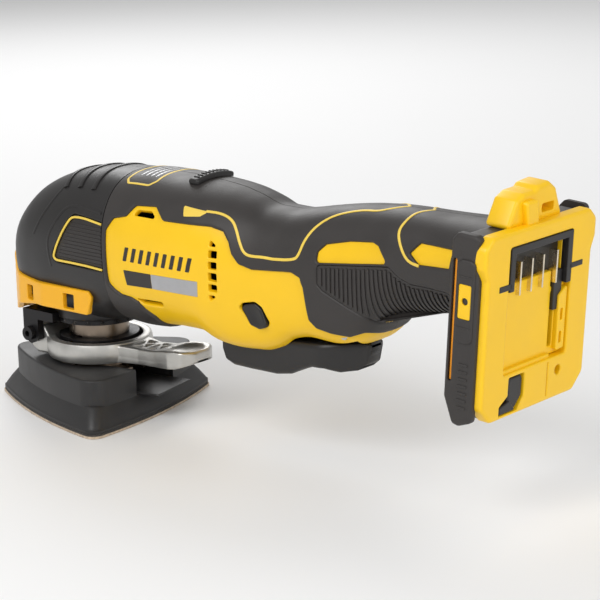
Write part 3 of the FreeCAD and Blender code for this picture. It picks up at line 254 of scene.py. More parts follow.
# ------------------------------------------------------------------ outlines

def rounded(corners, radius, step=1.5):
    """Closed outline: straight sides joined by arcs, with points about step apart."""
    corners = np.array(corners, float)
    count = len(corners)
    points = []
    for i in range(count):
        before, here, after = corners[i - 1], corners[i], corners[(i + 1) % count]
        back, ahead = before - here, after - here
        back_length, ahead_length = np.linalg.norm(back), np.linalg.norm(ahead)
        back, ahead = back / back_length, ahead / ahead_length
        half = math.acos(max(-1.0, min(1.0, float(back @ ahead)))) / 2
        if half > 1.5 or radius < 0.02:
            points.append(here)
            continue
        cut = min(radius / math.tan(half), 0.45 * min(back_length, ahead_length))
        size = cut * math.tan(half)
        centre = here + (back + ahead) / np.linalg.norm(back + ahead) * math.hypot(cut, size)
        start, end = here + back * cut - centre, here + ahead * cut - centre
        turn = math.atan2(start[0] * end[1] - start[1] * end[0], float(start @ end))
        pieces = max(2, int(abs(turn) * size / (0.3 * step)) + 1, int(abs(turn) / 0.4) + 1)
        for k in range(pieces + 1):
            angle = turn * k / pieces
            c, s = math.cos(angle), math.sin(angle)
            points.append(centre + np.array((c * start[0] - s * start[1], s * start[0] + c * start[1])))
    return densified(np.array(points), step)


def densified(points, step, closed=True):
    """The same line with no gap longer than step."""
    dense = []
    last = len(points) if closed else len(points) - 1
    for i in range(last):
        a, b = points[i], points[(i + 1) % len(points)]
        pieces = max(1, int(math.ceil(np.linalg.norm(b - a) / step)))
        dense.extend(a + (b - a) * k / pieces for k in range(pieces))
    if not closed:
        dense.append(points[-1])
    return np.array(dense)


def smoothed(points, rounds=3):
    """Open line with its corners cut back evenly."""
    points = np.array(points, float)
    for _ in range(rounds):
        quarter = points[:-1] * 0.75 + points[1:] * 0.25
        three = points[:-1] * 0.25 + points[1:] * 0.75
        middle = np.stack([quarter, three], 1).reshape(-1, points.shape[1])
        points = np.concatenate([points[:1], middle, points[-1:]])
    return points


def inside(points, loop):
    """Which points lie inside a closed loop."""
    x, y = points[:, 0][:, None], points[:, 1][:, None]
    ax, ay = loop[:, 0], loop[:, 1]
    bx, by = np.roll(ax, -1), np.roll(ay, -1)
    rise = np.where(np.abs(by - ay) < 1e-12, 1e-12, by - ay)
    crosses = ((ay > y) != (by > y)) & (x < (bx - ax) * (y - ay) / rise + ax)
    return crosses.sum(1) % 2 == 1


def distance(points, loop):
    """Distance from each point to a closed loop."""
    ends = np.roll(loop, -1, 0)
    along = ends - loop
    length = np.maximum((along ** 2).sum(1), 1e-12)
    nearest = np.full(len(points), 1e9)
    for start in range(0, len(points), 2000):
        block = points[start:start + 2000]
        offset = block[:, None, :] - loop[None]
        share = np.clip((offset * along[None]).sum(2) / length[None], 0, 1)
        gap = offset - share[..., None] * along[None]
        nearest[start:start + 2000] = np.sqrt((gap ** 2).sum(2).min(1))
    return nearest


def moved_in(loop, amount):
    """Loop offset sideways by amount, to the left of its direction."""
    ahead = np.roll(loop, -1, 0) - np.roll(loop, 1, 0)
    length = np.maximum(np.linalg.norm(ahead, axis=1), 1e-9)
    normal = np.stack([-ahead[:, 1], ahead[:, 0]], 1) / length[:, None]
    offset = loop + normal * amount
    return offset[distance(offset, loop) > 0.85 * abs(amount)]


def signed_area(loop):
    ahead = np.roll(loop, -1, 0)
    return 0.5 * float((loop[:, 0] * ahead[:, 1] - ahead[:, 0] * loop[:, 1]).sum())


def shrunk(loop, amount):
    """The loop moved towards its inside, whichever way it runs."""
    return moved_in(loop, math.copysign(amount, signed_area(loop)))


def oblong(u0, u1, v0, v1, radius, step=1.5):
    """Rounded rectangle."""
    return rounded(((u0, v0), (u0, v1), (u1, v1), (u1, v0)), radius, step)


def circle(u, v, radius, count):
    turn = np.linspace(0, 2 * math.pi, count, endpoint=False)
    return np.stack([u + radius * np.cos(turn), v + radius * np.sin(turn)], 1)


def run_along(points):
    """Length from the first point to each point of a line."""
    return np.concatenate([[0.0], np.cumsum(np.linalg.norm(np.diff(points, axis=0), axis=1))])


# ------------------------------------------------------------------ surfaces that pieces are laid on

def smooth_column(stations, column, at):
    """Monotone cubic through one column, read at many places."""
    xs, ys = stations[:, 0], stations[:, column]
    slopes = np.diff(ys) / np.diff(xs)
    product = slopes[:-1] * slopes[1:]
    total = np.where(np.abs(slopes[:-1] + slopes[1:]) < 1e-12, 1.0, slopes[:-1] + slopes[1:])
    inner = np.where(product <= 0, 0.0, 2 * product / total)
    tangents = np.concatenate([slopes[:1], inner, slopes[-1:]])
    at = np.clip(at, xs[0], xs[-1])
    i = np.clip(np.searchsorted(xs, at, side="right") - 1, 0, len(xs) - 2)
    span = xs[i + 1] - xs[i]
    t = (at - xs[i]) / span
    start = (1 + 2 * t) * (1 - t) ** 2 * ys[i] + t * (1 - t) ** 2 * span * tangents[i]
    end = t * t * (3 - 2 * t) * ys[i + 1] + t * t * (t - 1) * span * tangents[i + 1]
    return start + end


class Skin:
    """The moulded surface, measured by u along the tool and s round it from the crown."""
    ROUND = 129
    FINE_ANGLES = np.linspace(0, math.pi, 241)

    def __init__(self, stations, by_chord=False):
        table = np.array(stations, float)
        if by_chord:
            steps = np.hypot(np.diff(table[:, 0]), np.diff(table[:, 3]))
            u = np.concatenate([[0.0], np.cumsum(steps)])
        else:
            u = table[:, 0]
        self.nose_length = NOSE_LENGTH if by_chord else 0.0
        self.table = np.column_stack([u, table])
        self.us = np.linspace(u[0], u[-1], int((u[-1] - u[0]) / 0.8) + 2)
        self.xs = smooth_column(self.table, 1, self.us)
        share = np.linspace(0, 1, self.ROUND)
        self.angles = np.zeros((len(self.us), self.ROUND))
        self.lengths = np.zeros(len(self.us))
        for i, u_here in enumerate(self.us):
            run = run_along(self.section(u_here))
            self.lengths[i] = run[-1]
            self.angles[i] = np.interp(share * run[-1], run, self.FINE_ANGLES)

    def section(self, u):
        """Fine half ring from crown to keel."""
        return self.at_angle(np.full(len(self.FINE_ANGLES), u), self.FINE_ANGLES, 0.0)

    def at_angle(self, u, angle, height):
        """Place at an angle from the crown, height above the skin."""
        x, bottom, top, half, lower = [smooth_column(self.table, c, u) for c in (1, 2, 3, 4, 5)]
        middle = bottom + WIDEST_SHARE * (top - bottom)
        up, across = np.cos(angle), np.sin(angle)
        power = np.where(up >= 0, UPPER_SQUARENESS, lower)
        reach = np.where(up >= 0, top - middle, middle - bottom) + height
        y = np.abs(across) ** (2 / power) * (half + height)
        z = middle + np.sign(up) * np.abs(up) ** (2 / power) * reach
        if self.nose_length:
            x = x - np.minimum(height, 0.0) * np.clip(1 - u / self.nose_length, 0, 1)
        return np.stack([x, y, z], -1)

    def girth(self, u):
        """Length round the section from crown to keel."""
        return np.interp(u, self.us, self.lengths)

    def point(self, u, s, height=0.0):
        """Place on the right-hand side, height above the skin."""
        u, s = np.asarray(u, float), np.asarray(s, float)
        share = np.clip(s / np.maximum(self.girth(u), 1e-6), 0, 1) * (self.ROUND - 1)
        k = np.minimum(share.astype(int), self.ROUND - 2)
        row = np.interp(u, self.us, np.arange(len(self.us)))
        r = np.minimum(row.astype(int), len(self.us) - 2)
        k_part, r_part = share - k, row - r
        low = self.angles[r, k] * (1 - k_part) + self.angles[r, k + 1] * k_part
        high = self.angles[r + 1, k] * (1 - k_part) + self.angles[r + 1, k + 1] * k_part
        return self.at_angle(u, low * (1 - r_part) + high * r_part, height)

    def u_at(self, x):
        return np.interp(x, self.xs, self.us)

    def from_side(self, corners):
        """(x, z) in side view to (u, s)."""
        found = []
        for x, z in corners:
            u = float(self.u_at(x))
            ring = self.section(u)
            run = run_along(ring)
            angle = float(np.interp(-z, -ring[:, 2], self.FINE_ANGLES))
            s = float(np.interp(angle, self.FINE_ANGLES, run))
            if z < ring[-1, 2]:
                s = run[-1] + (ring[-1, 2] - z)
            found.append((u, s))
        return np.array(found)

    def place(self, side):
        """Placing function for slabs on one side."""
        def put(u, s, height):
            spots = self.point(u, s, height)
            spots[:, 1] *= side
            return spots
        return put

    def outward(self, u, s):
        """Directions away from the skin on the right-hand side."""
        step = 0.3
        along = self.point(u + step, s) - self.point(u - step, s)
        around = self.point(u, s + step) - self.point(u, np.maximum(s - step, 0.0))
        normal = np.cross(around, along)
        normal /= np.maximum(np.linalg.norm(normal, axis=1), 1e-9)[:, None]
        away = (self.point(u, s) - (0.0, 0.0, SKIN_MIDDLE_Z)) * (0.0, 1.0, 1.0)
        normal *= np.sign((normal * away).sum(1))[:, None]
        return normal


def leaned(points):
    """Foot places turned back about the foot's upper rear edge."""
    x, z = points[:, 0] - FOOT_REAR_X, points[:, 2] - FOOT_TOP
    c, s = math.cos(FOOT_LEAN), math.sin(FOOT_LEAN)
    return np.stack([FOOT_REAR_X + x * c + z * s, points[:, 1], FOOT_TOP - x * s + z * c], 1)


def rear_view(level):
    """(y, z) outlines on the foot, with height towards the rear."""
    return lambda u, v, h: leaned(np.stack([level + h, u, v], 1))


def foot_side(side):
    """(x, z) outlines on the foot's side, with height outwards."""
    return lambda u, v, h: leaned(np.stack([u, side * h, v], 1))


def side_view(u, v, h):
    return np.stack([u, h, v], 1)


def plan_view(u, v, h):
    return np.stack([u, v, h], 1)


# ------------------------------------------------------------------ mesh making

EDGE_STEPS = (0.0, 0.13, 0.42, 1.0, 1.5)


def roll_off(gap, radius):
    """How far a rounded edge drops at a distance from the rim."""
    near = np.clip(1 - gap / max(radius, 1e-6), 0, 1)
    return radius * (1 - np.sqrt(np.maximum(0, 1 - near ** 2)))


def slab(outer, place, top, bottom, edge=0.5, holes=(), hole_edge=None, grid=None, both=False):
    """Closed plate with rounded rims: (points in mm, triangles and quads)."""
    hole_edge = edge if hole_edge is None else hole_edge
    rims = [(outer, edge, 1)] + [(hole, hole_edge, -1) for hole in holes]
    spots, lines = [], []
    for loop, radius, way in rims:
        facing = way * math.copysign(1.0, signed_area(loop))
        for share in EDGE_STEPS if radius > 0.05 else (0.0,):
            ring = loop if share == 0 else moved_in(loop, facing * share * radius)
            if len(ring) < 3:
                continue
            first = len(spots)
            spots.extend(map(tuple, ring))
            lines.extend((first + k, first + (k + 1) % len(ring)) for k in range(len(ring)))
    if grid:
        low, high = outer.min(0), outer.max(0)
        columns = np.arange(low[0], high[0], grid)
        rows = np.arange(low[1], high[1], grid * 0.866)
        gx, gy = np.meshgrid(columns, rows)
        gx = gx + (np.arange(len(rows)) % 2)[:, None] * grid / 2
        mesh_points = np.stack([gx.ravel(), gy.ravel()], 1)
        keep = inside(mesh_points, outer)
        mesh_points = mesh_points[keep]
        clear = np.full(len(mesh_points), True)
        for loop, radius, _ in rims:
            clear &= distance(mesh_points, loop) > max(1.7 * radius, 0.35 * grid)
        spots.extend(map(tuple, mesh_points[clear]))
    found = delaunay_2d_cdt([Vector(p) for p in spots], lines, [], 0, 1e-5, False)
    flat = np.array([tuple(p) for p in found[0]])
    triangles = np.array([tuple(f) for f in found[2] if len(f) == 3])
    centres = flat[triangles].mean(1)
    keep = inside(centres, outer)
    for hole in holes:
        keep &= ~inside(centres, hole)
    triangles = triangles[keep]
    used, triangles = np.unique(triangles, return_inverse=True)
    triangles = triangles.reshape(-1, 3)
    flat = flat[used]

    drop = np.zeros(len(flat))
    for loop, radius, _ in rims:
        if radius > 0.05:
            drop = np.maximum(drop, roll_off(distance(flat, loop), radius))
    u, v = flat[:, 0], flat[:, 1]
    high = top(u, v) if callable(top) else np.full(len(flat), float(top))
    low = bottom(u, v) if callable(bottom) else np.full(len(flat), float(bottom))
    upper = place(u, v, high - drop)
    lower = place(u, v, low + (drop if both else 0.0))
    count = len(flat)
    pairs = np.concatenate([triangles[:, (0, 1)], triangles[:, (1, 2)], triangles[:, (2, 0)]])
    known = {tuple(p) for p in pairs.tolist()}
    rim = [(a, b) for a, b in known if (b, a) not in known]
    faces = triangles.tolist() + (triangles[:, ::-1] + count).tolist()
    faces += [(b, a, a + count, b + count) for a, b in sorted(rim)]
    return outward_facing(np.concatenate([upper, lower]), faces)


def outward_facing(points, faces):
    """Turns the faces over when the closed shape is inside out."""
    volume = 0.0
    for face in faces:
        a = points[face[0]]
        for k in range(1, len(face) - 1):
            volume += float(np.dot(a, np.cross(points[face[k]], points[face[k + 1]])))
    return points, (faces if volume >= 0 else [tuple(reversed(f)) for f in faces])


def stacked(rings):
    """Closed shape through rings with the same number of points."""
    count = len(rings[0])
    points = np.concatenate([np.array(r, float) for r in rings])
    faces = []
    for level in range(len(rings) - 1):
        a, b = level * count, (level + 1) * count
        faces.extend((a + k, a + (k + 1) % count, b + (k + 1) % count, b + k) for k in range(count))
    faces.append(tuple(reversed(range(count))))
    faces.append(tuple(range(len(points) - count, len(points))))
    return outward_facing(points, faces)


def turned(profile, centre=(0.0, 0.0), segments=96):
    """Ring turned about a vertical axis, from a closed (radius, z) profile."""
    profile = np.array(profile, float)
    count = len(profile)
    angles = np.linspace(0, 2 * math.pi, segments, endpoint=False)
    points = np.concatenate([
        np.stack([centre[0] + profile[:, 0] * math.cos(a), centre[1] + profile[:, 0] * math.sin(a),
                  profile[:, 1]], 1) for a in angles])
    faces = []
    for i in range(segments):
        a, b = i * count, ((i + 1) % segments) * count
        faces.extend((a + k, b + k, b + (k + 1) % count, a + (k + 1) % count) for k in range(count))
    return outward_facing(points, faces)


def make_piece(name, body, parts, stands_for=(), sharp=38.0):
    """One object from (shape, finish) pairs, riding on a body."""
    points, faces, finishes, chosen = [], [], [], []
    start = 0
    for (part_points, part_faces), finish in parts:
        if finish not in finishes:
            finishes.append(finish)
        points.append(part_points)
        faces.extend([tuple(i + start for i in face) for face in part_faces])
        chosen.extend([finishes.index(finish)] * len(part_faces))
        start += len(part_points)
    mesh = bpy.data.meshes.new(name)
    mesh.from_pydata((np.concatenate(points) * MM).tolist(), [], faces)
    mesh.polygons.foreach_set("material_index", chosen)
    mesh.polygons.foreach_set("use_smooth", [True] * len(faces))
    for finish in finishes:
        mesh.materials.append(FINISH[finish])
    mesh.set_sharp_from_angle(angle=math.radians(sharp))
    mesh.update()
    return settle(name, mesh, body, stands_for)


def settle(name, mesh, body, stands_for=()):
    piece = bpy.data.objects.new(name, mesh)
    bpy.context.scene.collection.objects.link(piece)
    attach(piece, body)
    if stands_for:
        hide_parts(*stands_for)
    return piece


# ------------------------------------------------------------------ geometry node trees

def node_tree(name, inputs):
    tree = bpy.data.node_groups.new(name, "GeometryNodeTree")
    tree.interface.new_socket("Geometry", in_out="INPUT", socket_type="NodeSocketGeometry")
    for label, kind in inputs:
        tree.interface.new_socket(label, in_out="INPUT", socket_type=kind)
    tree.interface.new_socket("Geometry", in_out="OUTPUT", socket_type="NodeSocketGeometry")
    return tree, tree.nodes.new("NodeGroupInput"), tree.nodes.new("NodeGroupOutput")


def finish_tree(tree, entry, exit_node, last):
    """Shade smooth, realize and set the finish."""
    smooth = tree.nodes.new("GeometryNodeSetShadeSmooth")
    realize = tree.nodes.new("GeometryNodeRealizeInstances")
    finish = tree.nodes.new("GeometryNodeSetMaterial")
    tree.links.new(last, smooth.inputs["Geometry"])
    tree.links.new(smooth.outputs[0], realize.inputs[0])
    tree.links.new(realize.outputs[0], finish.inputs["Geometry"])
    tree.links.new(entry.outputs["Finish"], finish.inputs["Material"])
    tree.links.new(finish.outputs[0], exit_node.inputs[0])


def bead_tree():
    """Rounded bead along each line of a mesh, standing on the surface's normal."""
    tree, entry, leave = node_tree("bead", (("Width", "NodeSocketFloat"), ("Height", "NodeSocketFloat"),
                                            ("Rounding", "NodeSocketFloat"), ("Finish",
                                            "NodeSocketMaterial")))
    nodes, links = tree.nodes, tree.links
    curve = nodes.new("GeometryNodeMeshToCurve")
    normal = nodes.new("GeometryNodeSetCurveNormal")
    normal.mode = "FREE"
    outward = nodes.new("GeometryNodeInputNamedAttribute")
    outward.data_type = "FLOAT_VECTOR"
    outward.inputs["Name"].default_value = "outward"
    section = nodes.new("GeometryNodeCurvePrimitiveQuadrilateral")
    fillet = nodes.new("GeometryNodeFilletCurve")
    fillet.mode = "POLY"
    fillet.inputs["Count"].default_value = 2
    sweep = nodes.new("GeometryNodeCurveToMesh")
    sweep.inputs["Fill Caps"].default_value = True
    links.new(entry.outputs["Geometry"], curve.inputs[0])
    links.new(curve.outputs[0], normal.inputs["Curve"])
    links.new(outward.outputs["Attribute"], normal.inputs["Normal"])
    links.new(entry.outputs["Height"], section.inputs["Width"])
    links.new(entry.outputs["Width"], section.inputs["Height"])
    links.new(section.outputs[0], fillet.inputs["Curve"])
    links.new(entry.outputs["Rounding"], fillet.inputs["Radius"])
    links.new(normal.outputs[0], sweep.inputs["Curve"])
    links.new(fillet.outputs[0], sweep.inputs["Profile Curve"])
    finish_tree(tree, entry, leave, sweep.outputs[0])
    return tree


def repeat_tree():
    """A copy of one shape on each point, its top turned to the outward attribute."""
    tree, entry, leave = node_tree("repeat", (("Shape", "NodeSocketObject"), ("Size", "NodeSocketFloat"),
                                              ("Finish", "NodeSocketMaterial")))
    nodes, links = tree.nodes, tree.links
    shape = nodes.new("GeometryNodeObjectInfo")
    outward = nodes.new("GeometryNodeInputNamedAttribute")
    outward.data_type = "FLOAT_VECTOR"
    outward.inputs["Name"].default_value = "outward"
    aim = nodes.new("FunctionNodeAlignRotationToVector")
    aim.axis = "Z"
    copies = nodes.new("GeometryNodeInstanceOnPoints")
    links.new(entry.outputs["Shape"], shape.inputs["Object"])
    links.new(outward.outputs["Attribute"], aim.inputs["Vector"])
    links.new(entry.outputs["Geometry"], copies.inputs["Points"])
    links.new(shape.outputs["Geometry"], copies.inputs["Instance"])
    links.new(aim.outputs[0], copies.inputs["Rotation"])
    links.new(entry.outputs["Size"], copies.inputs["Scale"])
    finish_tree(tree, entry, leave, copies.outputs[0])
    return tree


def grown(name, tree, points, edges, outward, values, body, stands_for=()):
    """Runs a tree on points that carry their outward directions, and keeps the plain mesh."""
    seed = bpy.data.meshes.new(name + "_path")
    seed.from_pydata((np.array(points) * MM).tolist(), edges, [])
    carried = seed.attributes.new("outward", "FLOAT_VECTOR", "POINT")
    carried.data.foreach_set("vector", np.array(outward, float).ravel())
    holder = bpy.data.objects.new(name + "_path", seed)
    bpy.context.scene.collection.objects.link(holder)
    modifier = holder.modifiers.new("shape", "NODES")
    modifier.node_group = tree
    for item in tree.interface.items_tree:
        if item.in_out == "INPUT" and item.name in values:
            modifier[item.identifier] = values[item.name]
    evaluated = holder.evaluated_get(bpy.context.evaluated_depsgraph_get())
    mesh = bpy.data.meshes.new_from_object(evaluated)
    mesh.name = name
    holder.modifiers.clear()
    bpy.data.objects.remove(holder)
    mesh.set_sharp_from_angle(angle=math.radians(42))
    return settle(name, mesh, body, stands_for)


def beads(name, tree, lines, width, height, finish, body="housing", rounding=None):
    """One piece of beads; each line is (points, outward directions)."""
    points, edges, outward = [], [], []
    for line, directions in lines:
        first = len(points)
        points.extend(line)
        outward.extend(directions)
        edges.extend((first + k, first + k + 1) for k in range(len(line) - 1))
    rounding = 0.4 * min(width, height) if rounding is None else rounding
    values = {"Width": width * MM, "Height": height * MM, "Rounding": rounding * MM, "Finish": FINISH[finish]}
    return grown(name, tree, points, edges, outward, values, body, ())


def skin_line(skin, path, side, height=0.0, step=1.2, rounds=3):
    """A line on the skin from (u, s) points; s below zero crosses the crown to the other side."""
    path = densified(smoothed(path, rounds), step, closed=False)
    u, s = path[:, 0], path[:, 1]
    points = skin.point(u, np.abs(s), height)
    normal = skin.outward(u, np.abs(s))
    flip = np.where(s < 0, -side, side)
    points[:, 1] *= flip
    normal[:, 1] *= flip
    return points, normal


HOUSING = Skin(HOUSING_STATIONS)
HEAD = Skin(HEAD_STATIONS, by_chord=True)
SIDES = (("left", -1), ("right", 1))
TREES = {}


# ------------------------------------------------------------------ clamshell and rubber

YELLOW_PANEL = (
    (37.4, 72.0), (37.4, 97.0), (41.5, 102.8), (49.2, 104.6), (53.4, 109.7), (65.5, 110.5), (72.0, 105.2),
    (98.0, 105.4), (105.0, 103.9), (108.8, 99.5), (111.0, 94.5), (114.6, 90.4), (121.0, 88.6),
    (141.5, 89.6), (146.2, 87.6), (147.6, 83.5), (149.9, 69.0), (153.5, 65.6), (161.0, 64.2), (170.6, 63.8),
    (180.0, 67.5), (180.0, 40.0), (60.6, 40.0), (60.6, 57.1), (56.9, 60.5), (54.2, 64.2), (50.4, 65.9),
    (44.6, 66.5), (40.8, 68.3), (38.3, 70.4),
)
GRIP_WINDOW = ((154.8, 95.6), (155.2, 100.5), (159.0, 104.1), (171.6, 106.9), (184.2, 108.1), (187.6, 106.9),
               (192.8, 99.7))
REAR_WINDOW = ((204.6, 106.2), (209.3, 111.0), (227.0, 110.6), (225.6, 102.5), (209.4, 101.9))
GRIP_INSERT = ((155.4, 94.6), (155.4, 87.0), (158.0, 83.6), (174.5, 76.6), (181.0, 73.4), (188.0, 60.0),
               (222.0, 60.0), (225.0, 91.4), (213.0, 92.4), (204.5, 92.6), (198.6, 94.8), (193.4, 98.6))
LOUVRE_TOP = ((52.6, 105.7), (54.9, 108.3), (63.2, 108.6), (67.3, 105.5))
LOUVRE_LOW = ((52.4, 65.4), (70.0, 65.8), (69.0, 63.3), (56.4, 62.9))
LEAF = ((113.8, 70.0), (115.8, 72.4), (122.2, 73.6), (125.6, 71.4), (129.8, 63.2), (124.4, 61.4),
        (118.8, 62.6))
TRIGGER_FRONT = 89.3
TRIGGER_REAR = 171.5
TRIGGER_SLOT_HALF = 14.5


def housing_outline(front, rear_top, rear_bottom):
    """Domain of one half of the housing, round the trigger's opening."""
    top_edge = [(front, 0.0), (rear_top, 0.0)]
    keel = []
    for u in np.arange(rear_bottom, TRIGGER_REAR, -2.0):
        keel.append((u, float(HOUSING.girth(u))))
    keel.append((TRIGGER_REAR, float(HOUSING.girth(TRIGGER_REAR))))
    for u in np.arange(TRIGGER_REAR, TRIGGER_FRONT - 1.0, -2.0):
        u = max(u, TRIGGER_FRONT)
        s = np.linspace(0.5, 1.0, 200) * float(HOUSING.girth(u))
        y = HOUSING.point(np.full(200, u), s)[:, 1]
        keel.append((u, float(np.interp(-TRIGGER_SLOT_HALF, -y, s))))
    keel.append((TRIGGER_FRONT, float(HOUSING.girth(TRIGGER_FRONT))))
    for u in np.arange(TRIGGER_FRONT - 2.0, front, -2.0):
        keel.append((u, float(HOUSING.girth(u))))
    keel.append((front, float(HOUSING.girth(front))))
    return densified(np.array(top_edge + keel), 2.0)


def on_housing(corners, radius):
    return HOUSING.from_side(rounded(corners, radius))


def vent_outlines():
    """Four slots in a column between two small triangles."""
    front, rear, half_height, pitch = 98.8, 103.2, 1.7, 5.3
    levels = [77.6 + pitch * i for i in range(4)]
    outlines = [((front, z - half_height), (front, z + half_height), (rear, z + half_height),
                 (rear, z - half_height)) for z in levels]
    outlines.append(((front, 97.2), (front + 0.4, 100.0), (rear, 97.0)))
    outlines.append(((front, 74.0), (front + 0.4, 71.2), (rear, 74.0)))
    return outlines


def housing_piece(label, side):
    """Yellow nylon half with its vents, louvres and the hole for the lock button."""
    place = HOUSING.place(side)
    outline = housing_outline(SEAM_X + 0.5, 243.0, 240.6)
    holes = [on_housing(c, 0.5) for c in vent_outlines()]
    holes += [on_housing(LOUVRE_TOP, 1.0), on_housing(LOUVRE_LOW, 1.0), on_housing(LEAF, 2.6)]
    shell = slab(outline, place, -RUBBER, -RUBBER - SHELL_WALL, 0.12, holes, 0.55, 2.6)
    wedge = on_housing(((81.2, 112.3), (95.5, 110.9), (92.0, 108.6), (83.4, 107.9)), 0.6)
    parts = [(shell, "shell_yellow"), (slab(wedge, place, 0.08, -1.3, 0.3), "piping_yellow")]
    dark = on_housing(((48.2, 79.2), (65.2, 79.4), (65.2, 72.4), (49.4, 71.9)), 0.3)
    light = on_housing(((65.4, 79.4), (93.0, 79.8), (92.8, 72.6), (65.4, 72.4)), 0.3)
    parts.append((slab(dark, place, -1.0, -1.5, 0.12), "plate_dark"))
    parts.append((slab(light, place, -1.0, -1.5, 0.12), "plate_silver"))
    for i in range(9):
        x = 48.0 + 4.8 * i
        bar = on_housing(((x, 83.6), (x + 1.9, 90.4), (x + 4.1, 90.4), (x + 2.2, 83.6)), 0.3)
        parts.append((slab(bar, place, -1.0, -1.5, 0.15), "plate_dark"))
    make_piece(label + "_housing_shell", "housing", parts, (label + "_housing",))


def rubber_piece(label, side, settings):
    """Overmoulded rubber round the yellow panels, with the ribbed insert under the fingers."""
    place = HOUSING.place(side)
    edge = settings.edge_radius / MM
    outline = housing_outline(SEAM_X + 0.4, 243.2, 240.8)
    holes = [on_housing(YELLOW_PANEL, 2.2), on_housing(GRIP_WINDOW, 1.4), on_housing(REAR_WINDOW, 0.8),
             on_housing(GRIP_INSERT, 1.8)]
    skin = slab(outline, place, 0.0, -RUBBER - 0.15, 0.3, holes, edge, 2.6)
    insert_outline = shrunk(holes[3], 0.06)
    insert_outline = insert_outline[inside(insert_outline, outline)]
    insert = slab(insert_outline, place, -0.35, -RUBBER - 0.15, 0.4, grid=2.6)
    parts = [(skin, "grip_rubber"), (insert, "grip_rubber")]
    make_piece(label + "_rubber_skin", "housing", parts, (label + "_grip_rubber",))


def grip_rib_lines(side, pitch):
    """Curved ribs over the insert, a little steeper towards the waist."""
    lines = []
    limit = on_housing(GRIP_INSERT, 1.8)
    inner = shrunk(limit, 1.1)
    reach = housing_outline(SEAM_X + 0.4, 241.0, 239.0)
    for i in range(32):
        x = 157.6 + pitch * i
        z = np.linspace(99.0, 60.0, 90)
        lean = 0.0045 * (x - 155.0) * ((99.0 - z) / 25.0) ** 2 * 8.0 / 3.0
        path = HOUSING.from_side(np.stack([x + lean, z], 1))
        keep = inside(path, inner) & inside(path, reach)
        path = path[keep]
        if len(path) > 6:
            lines.append(skin_line(HOUSING, path, side, -0.25, 1.5, 0))
    return lines


def piping_lines(side):
    """Two lines on each side that cross the crown of the grip."""
    first = HOUSING.from_side(((94.0, 110.9), (102.6, 110.4), (107.9, 108.3), (111.3, 104.8), (114.7, 99.0),
        (117.2, 95.4), (120.8, 94.4), (128.8, 94.8), (142.8, 95.2), (145.6, 97.2), (147.6, 104.2),
        (151.4, 110.2), (157.5, 114.6), (165.0, 116.9), (172.2, 118.3), (180.0, 118.9)))
    first = np.concatenate([first, [(184.5, 6.0), (189.0, 1.2), (190.0, 0.0)]])
    second = HOUSING.from_side(((197.6, 117.6), (196.6, 114.0), (198.6, 110.0), (202.0, 105.0),
                                (205.0, 102.4), (210.0, 101.5)))
    second = np.concatenate([[(203.0, 0.0), (201.5, 2.0), (198.6, 6.5)], second])
    return [skin_line(HOUSING, first, side, -0.1), skin_line(HOUSING, second, side, -0.1)]


def label_parts():
    """Framed blank plate on the crown, behind the head."""
    corners = ((38.6, 16.0), (41.5, 19.4), (55.0, 19.4), (57.6, 15.5), (57.6, -15.5), (55.0, -19.4),
               (41.5, -19.4), (38.6, -16.0))
    frame_outline = rounded(corners, 2.5)
    inner = shrunk(frame_outline, 1.2)

    def place(u, v, h):
        spots = HOUSING.point(u, np.abs(v), h)
        spots[:, 1] *= np.where(v < 0, -1, 1)
        return spots
    band = slab(frame_outline, place, 0.12, -0.8, 0.2, (inner,), 0.2, 2.2)
    plate = slab(inner, place, -0.15, -0.8, 0.1, grid=2.2)
    parts = [(band, "piping_yellow"), (plate, "plate_dark")]
    for i in range(4):
        u = 44.0 + 3.0 * i
        stripe = oblong(u, u + 1.0, -12.0, 12.0, 0.3)
        parts.append((slab(stripe, place, 0.0, -0.8, 0.12, grid=2.2), "plate_silver"))
    return parts


# ------------------------------------------------------------------ head

HEAD_LOW = 49.0
BADGE = ((36.0, 99.8), (15.0, 101.4), (10.5, 98.0), (-0.2, 80.6), (0.4, 77.6), (4.0, 76.6), (36.0, 76.5))


def head_outline():
    edge = [(0.0, 0.0), (float(HEAD.us[-1]), 0.0)]
    for u in np.arange(HEAD.us[-1], -0.1, -1.0):
        girth = float(HEAD.girth(u))
        s = np.linspace(0.3, 1.0, 200) * girth
        z = HEAD.point(np.full(200, u), s)[:, 2]
        edge.append((u, min(girth, float(np.interp(-HEAD_LOW, -z, s)))))
    return densified(np.array(edge), 1.5)


def head_parts(side):
    place = HEAD.place(side)
    outline = head_outline()
    badge = HEAD.from_side(rounded(BADGE, 2.5))
    badge[:, 0] = np.minimum(badge[:, 0], HEAD.us[-1] - 0.4)
    dome = slab(outline, place, 0.0, -2.4, 0.12, (badge,), 0.5, 2.2)
    plate_outline = shrunk(badge, 0.25)
    plate = slab(plate_outline, place, -0.7, -2.4, 0.1, grid=2.2)
    return [(dome, "black_nylon"), (plate, "plate_dark")]


